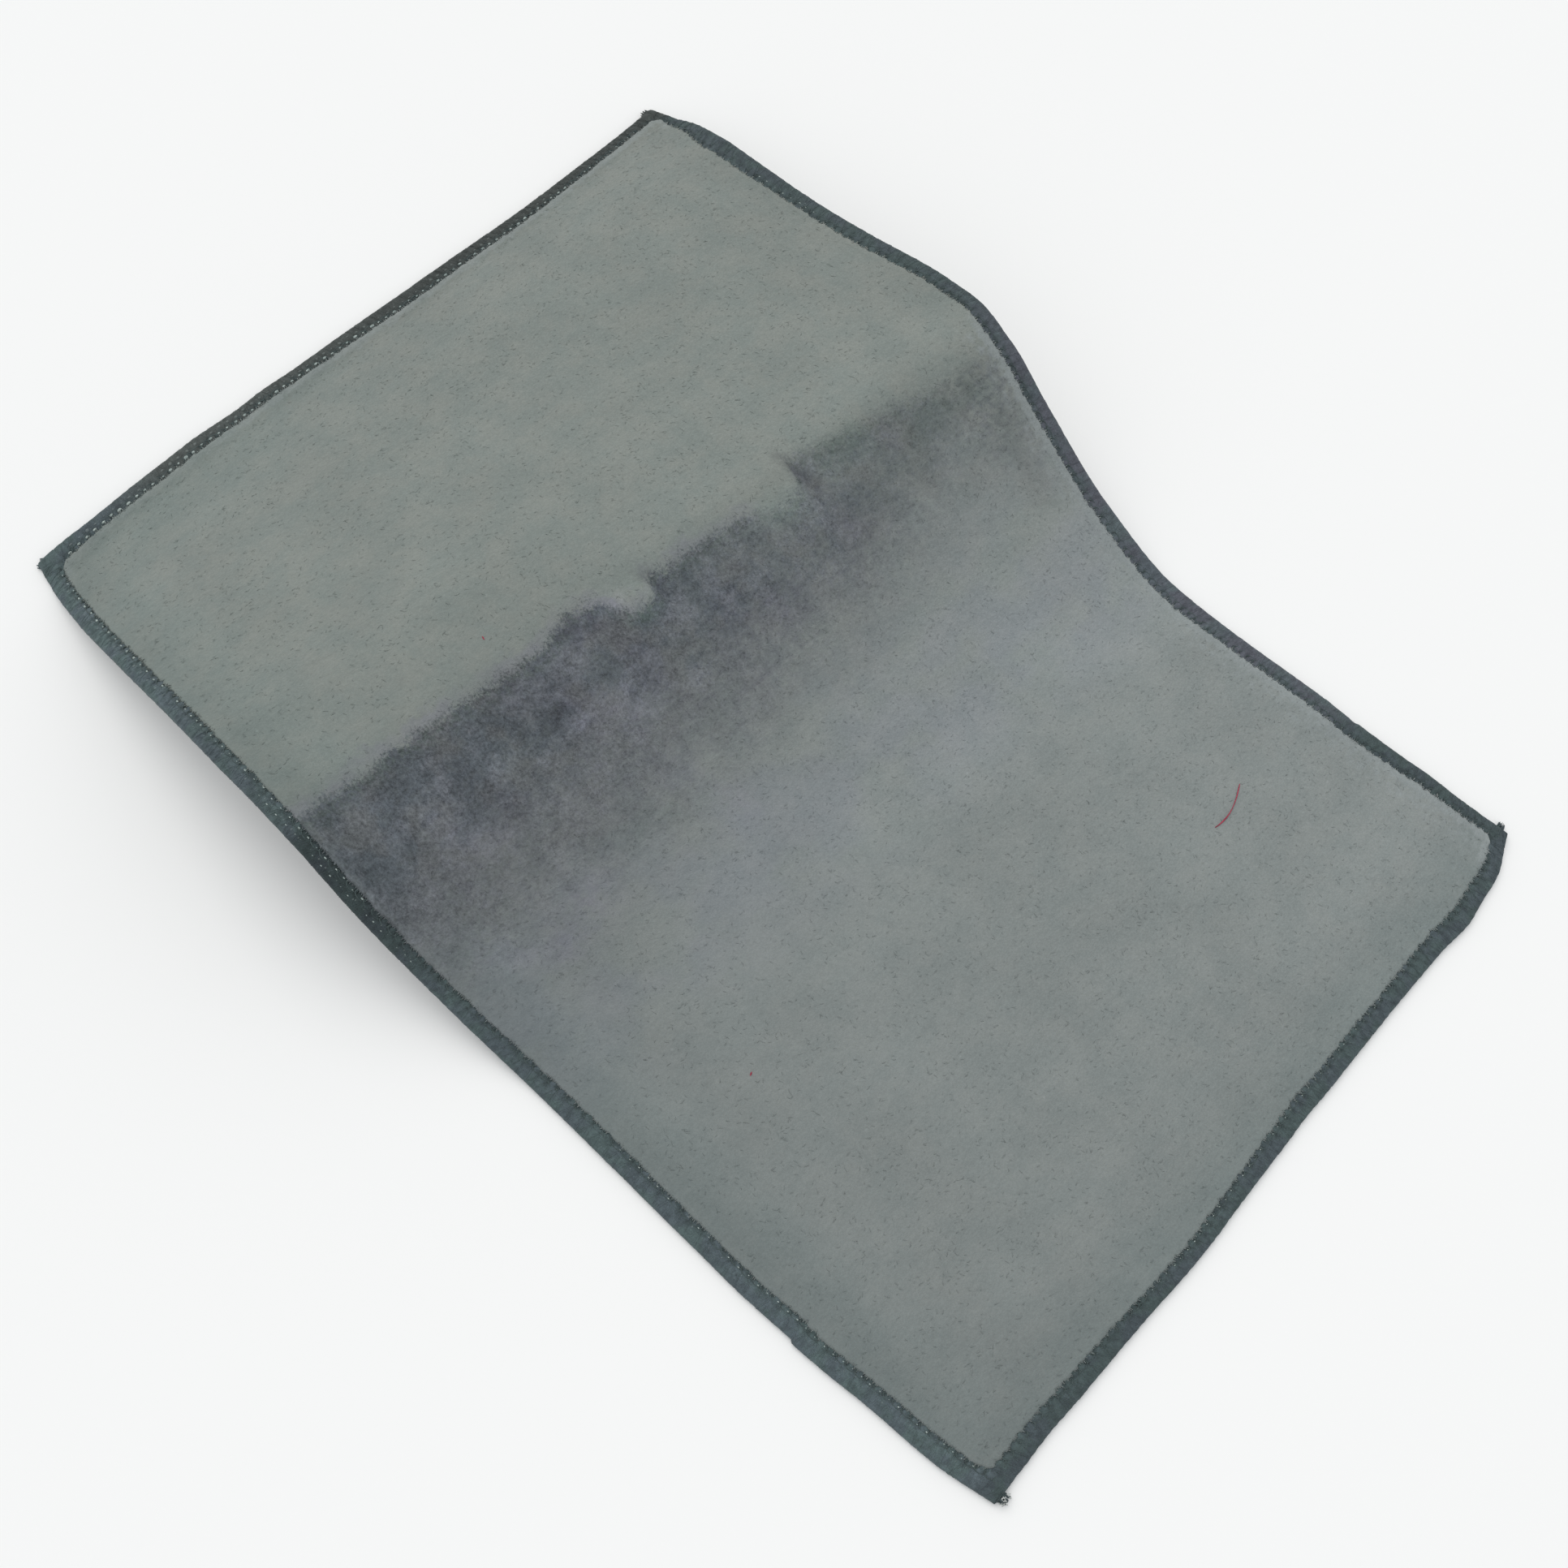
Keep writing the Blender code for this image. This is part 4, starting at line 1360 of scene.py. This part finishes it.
def red_lint(material):
    """One curved red fibre caught in the pile, and two specks of the same."""
    share = np.linspace(0, 1, 14)
    across = 253.0 - 20.5 * share
    along = 92.0 - 5.6 * np.sin(math.pi * 0.62 * share) + 1.0 * share
    height = pile_height(across, along) + 0.12 + 0.25 * np.sin(math.pi * share)
    fibre = np.stack([across, along, height], axis=-1)
    specks = []
    for x, y, heading in [(52.5, 138.2, 0.4), (86.2, 301.6, 1.3)]:
        run = np.linspace(-0.7, 0.7, 14)
        xs, ys = x + run * math.cos(heading), y + run * math.sin(heading)
        specks.append(np.stack([xs, ys, pile_height(xs, ys) + 0.12], axis=-1))
    radii = np.array([
        0.24 * np.interp(share, [0, 0.1, 0.3, 0.5, 0.8, 1], [0.5, 1.0, 0.75, 0.6, 1.1, 0.6]),
        0.22 * np.sin(math.pi * (0.1 + 0.8 * share)),
        0.20 * np.sin(math.pi * (0.1 + 0.8 * share)),
    ])
    flat, faces = tubes(np.array([fibre, *specks]), radii, 6)
    return add_piece("red_lint", flat, faces, material)


# ---------------------------------------------------------------- the stage
def floor():
    """A plain pale floor."""
    material, shader = new_material("floor", 0.9, sheen=0.0, sheen_roughness=0.5, specular=0.1)
    feed((0.91, 0.91, 0.91), shader.inputs["Base Color"])
    mesh = bpy.data.meshes.new("floor")
    reach = 6.0
    corners = [(-reach, -reach, 0), (reach, -reach, 0), (reach, reach, 0), (-reach, reach, 0)]
    mesh.from_pydata(corners, [], [(0, 1, 2, 3)])
    mesh.materials.append(material)
    plane = bpy.data.objects.new("floor", mesh)
    bpy.context.scene.collection.objects.link(plane)


def lighting():
    """Plain soft light: an even sky, and a broad soft lamp from beyond the far side."""
    world = bpy.data.worlds.new("studio")
    world.use_nodes = True
    sky = world.node_tree.nodes["Background"]
    sky.inputs["Color"].default_value = (0.97, 0.99, 1.0, 1.0)
    sky.inputs["Strength"].default_value = 0.76
    bpy.context.scene.world = world
    lamp = bpy.data.lights.new("soft lamp", "SUN")
    lamp.energy, lamp.color = 1.15, (1.0, 0.985, 0.95)
    lamp.angle = math.radians(50)
    holder = bpy.data.objects.new("soft lamp", lamp)
    holder.rotation_euler = Vector((-0.15, -0.63, -0.76)).to_track_quat("-Z", "Y").to_euler()
    bpy.context.scene.collection.objects.link(holder)
    bpy.context.scene.view_settings.view_transform = "Standard"


def camera():
    """Above the left side and looking down at the middle, turned about its own axis."""
    lens = bpy.data.cameras.new("camera")
    lens.sensor_width, lens.lens = 36.0, 33.57
    lens.clip_start = 0.01
    eye = bpy.data.objects.new("camera", lens)
    at, aim = Vector((-0.18764, -0.07615, 0.4815)), Vector((-0.02124, -0.01255, 0.0))
    level = (aim - at).to_track_quat("-Z", "Y")
    roll = Quaternion((0, 0, 1), math.radians(22.66))
    eye.location = at
    eye.rotation_mode = "QUATERNION"
    eye.rotation_quaternion = level @ roll
    bpy.context.scene.collection.objects.link(eye)
    bpy.context.scene.camera = eye


# ---------------------------------------------------------------- building
def build():
    """Makes every piece, hides the imported parts that they stand in for, and sets the stage."""
    pile = pile_material()
    wrap, strand = yarn_material("yarn"), yarn_material("yarn_strands", lift=1.08)
    loop = plain_yarn("looper_thread", (0.052, 0.071, 0.072), (0.078, 0.106, 0.106))
    needle = plain_yarn("needle_thread", (0.22, 0.27, 0.26), (0.42, 0.48, 0.46))
    knot = yarn_material("looper_knots", pale=0.18)

    panel = cloth_panel(pile)
    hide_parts("cloth")
    on_panel = [pile_fringe(pile), nap_fibres(pile)]
    for side in SIDES:
        body = wrap_body(side, wrap)
        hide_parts(f"edging_{side.name}")
        on_panel += [
            body,
            wrap_filaments(side, strand),
            stitch_loops(side, loop),
            needle_stitches(side, needle),
            looper_knots(side, knot),
        ]
    on_panel += [corner_tail(tail, strand) for tail in TAILS]
    on_panel.append(pale_tuft(plain_yarn("ground_yarn", (0.30, 0.32, 0.31), (0.60, 0.62, 0.61))))
    on_panel.append(red_lint(plain_yarn("red_fibre", (0.28, 0.02, 0.05), (0.42, 0.05, 0.09))))

    floor()
    lighting()
    camera()


build()
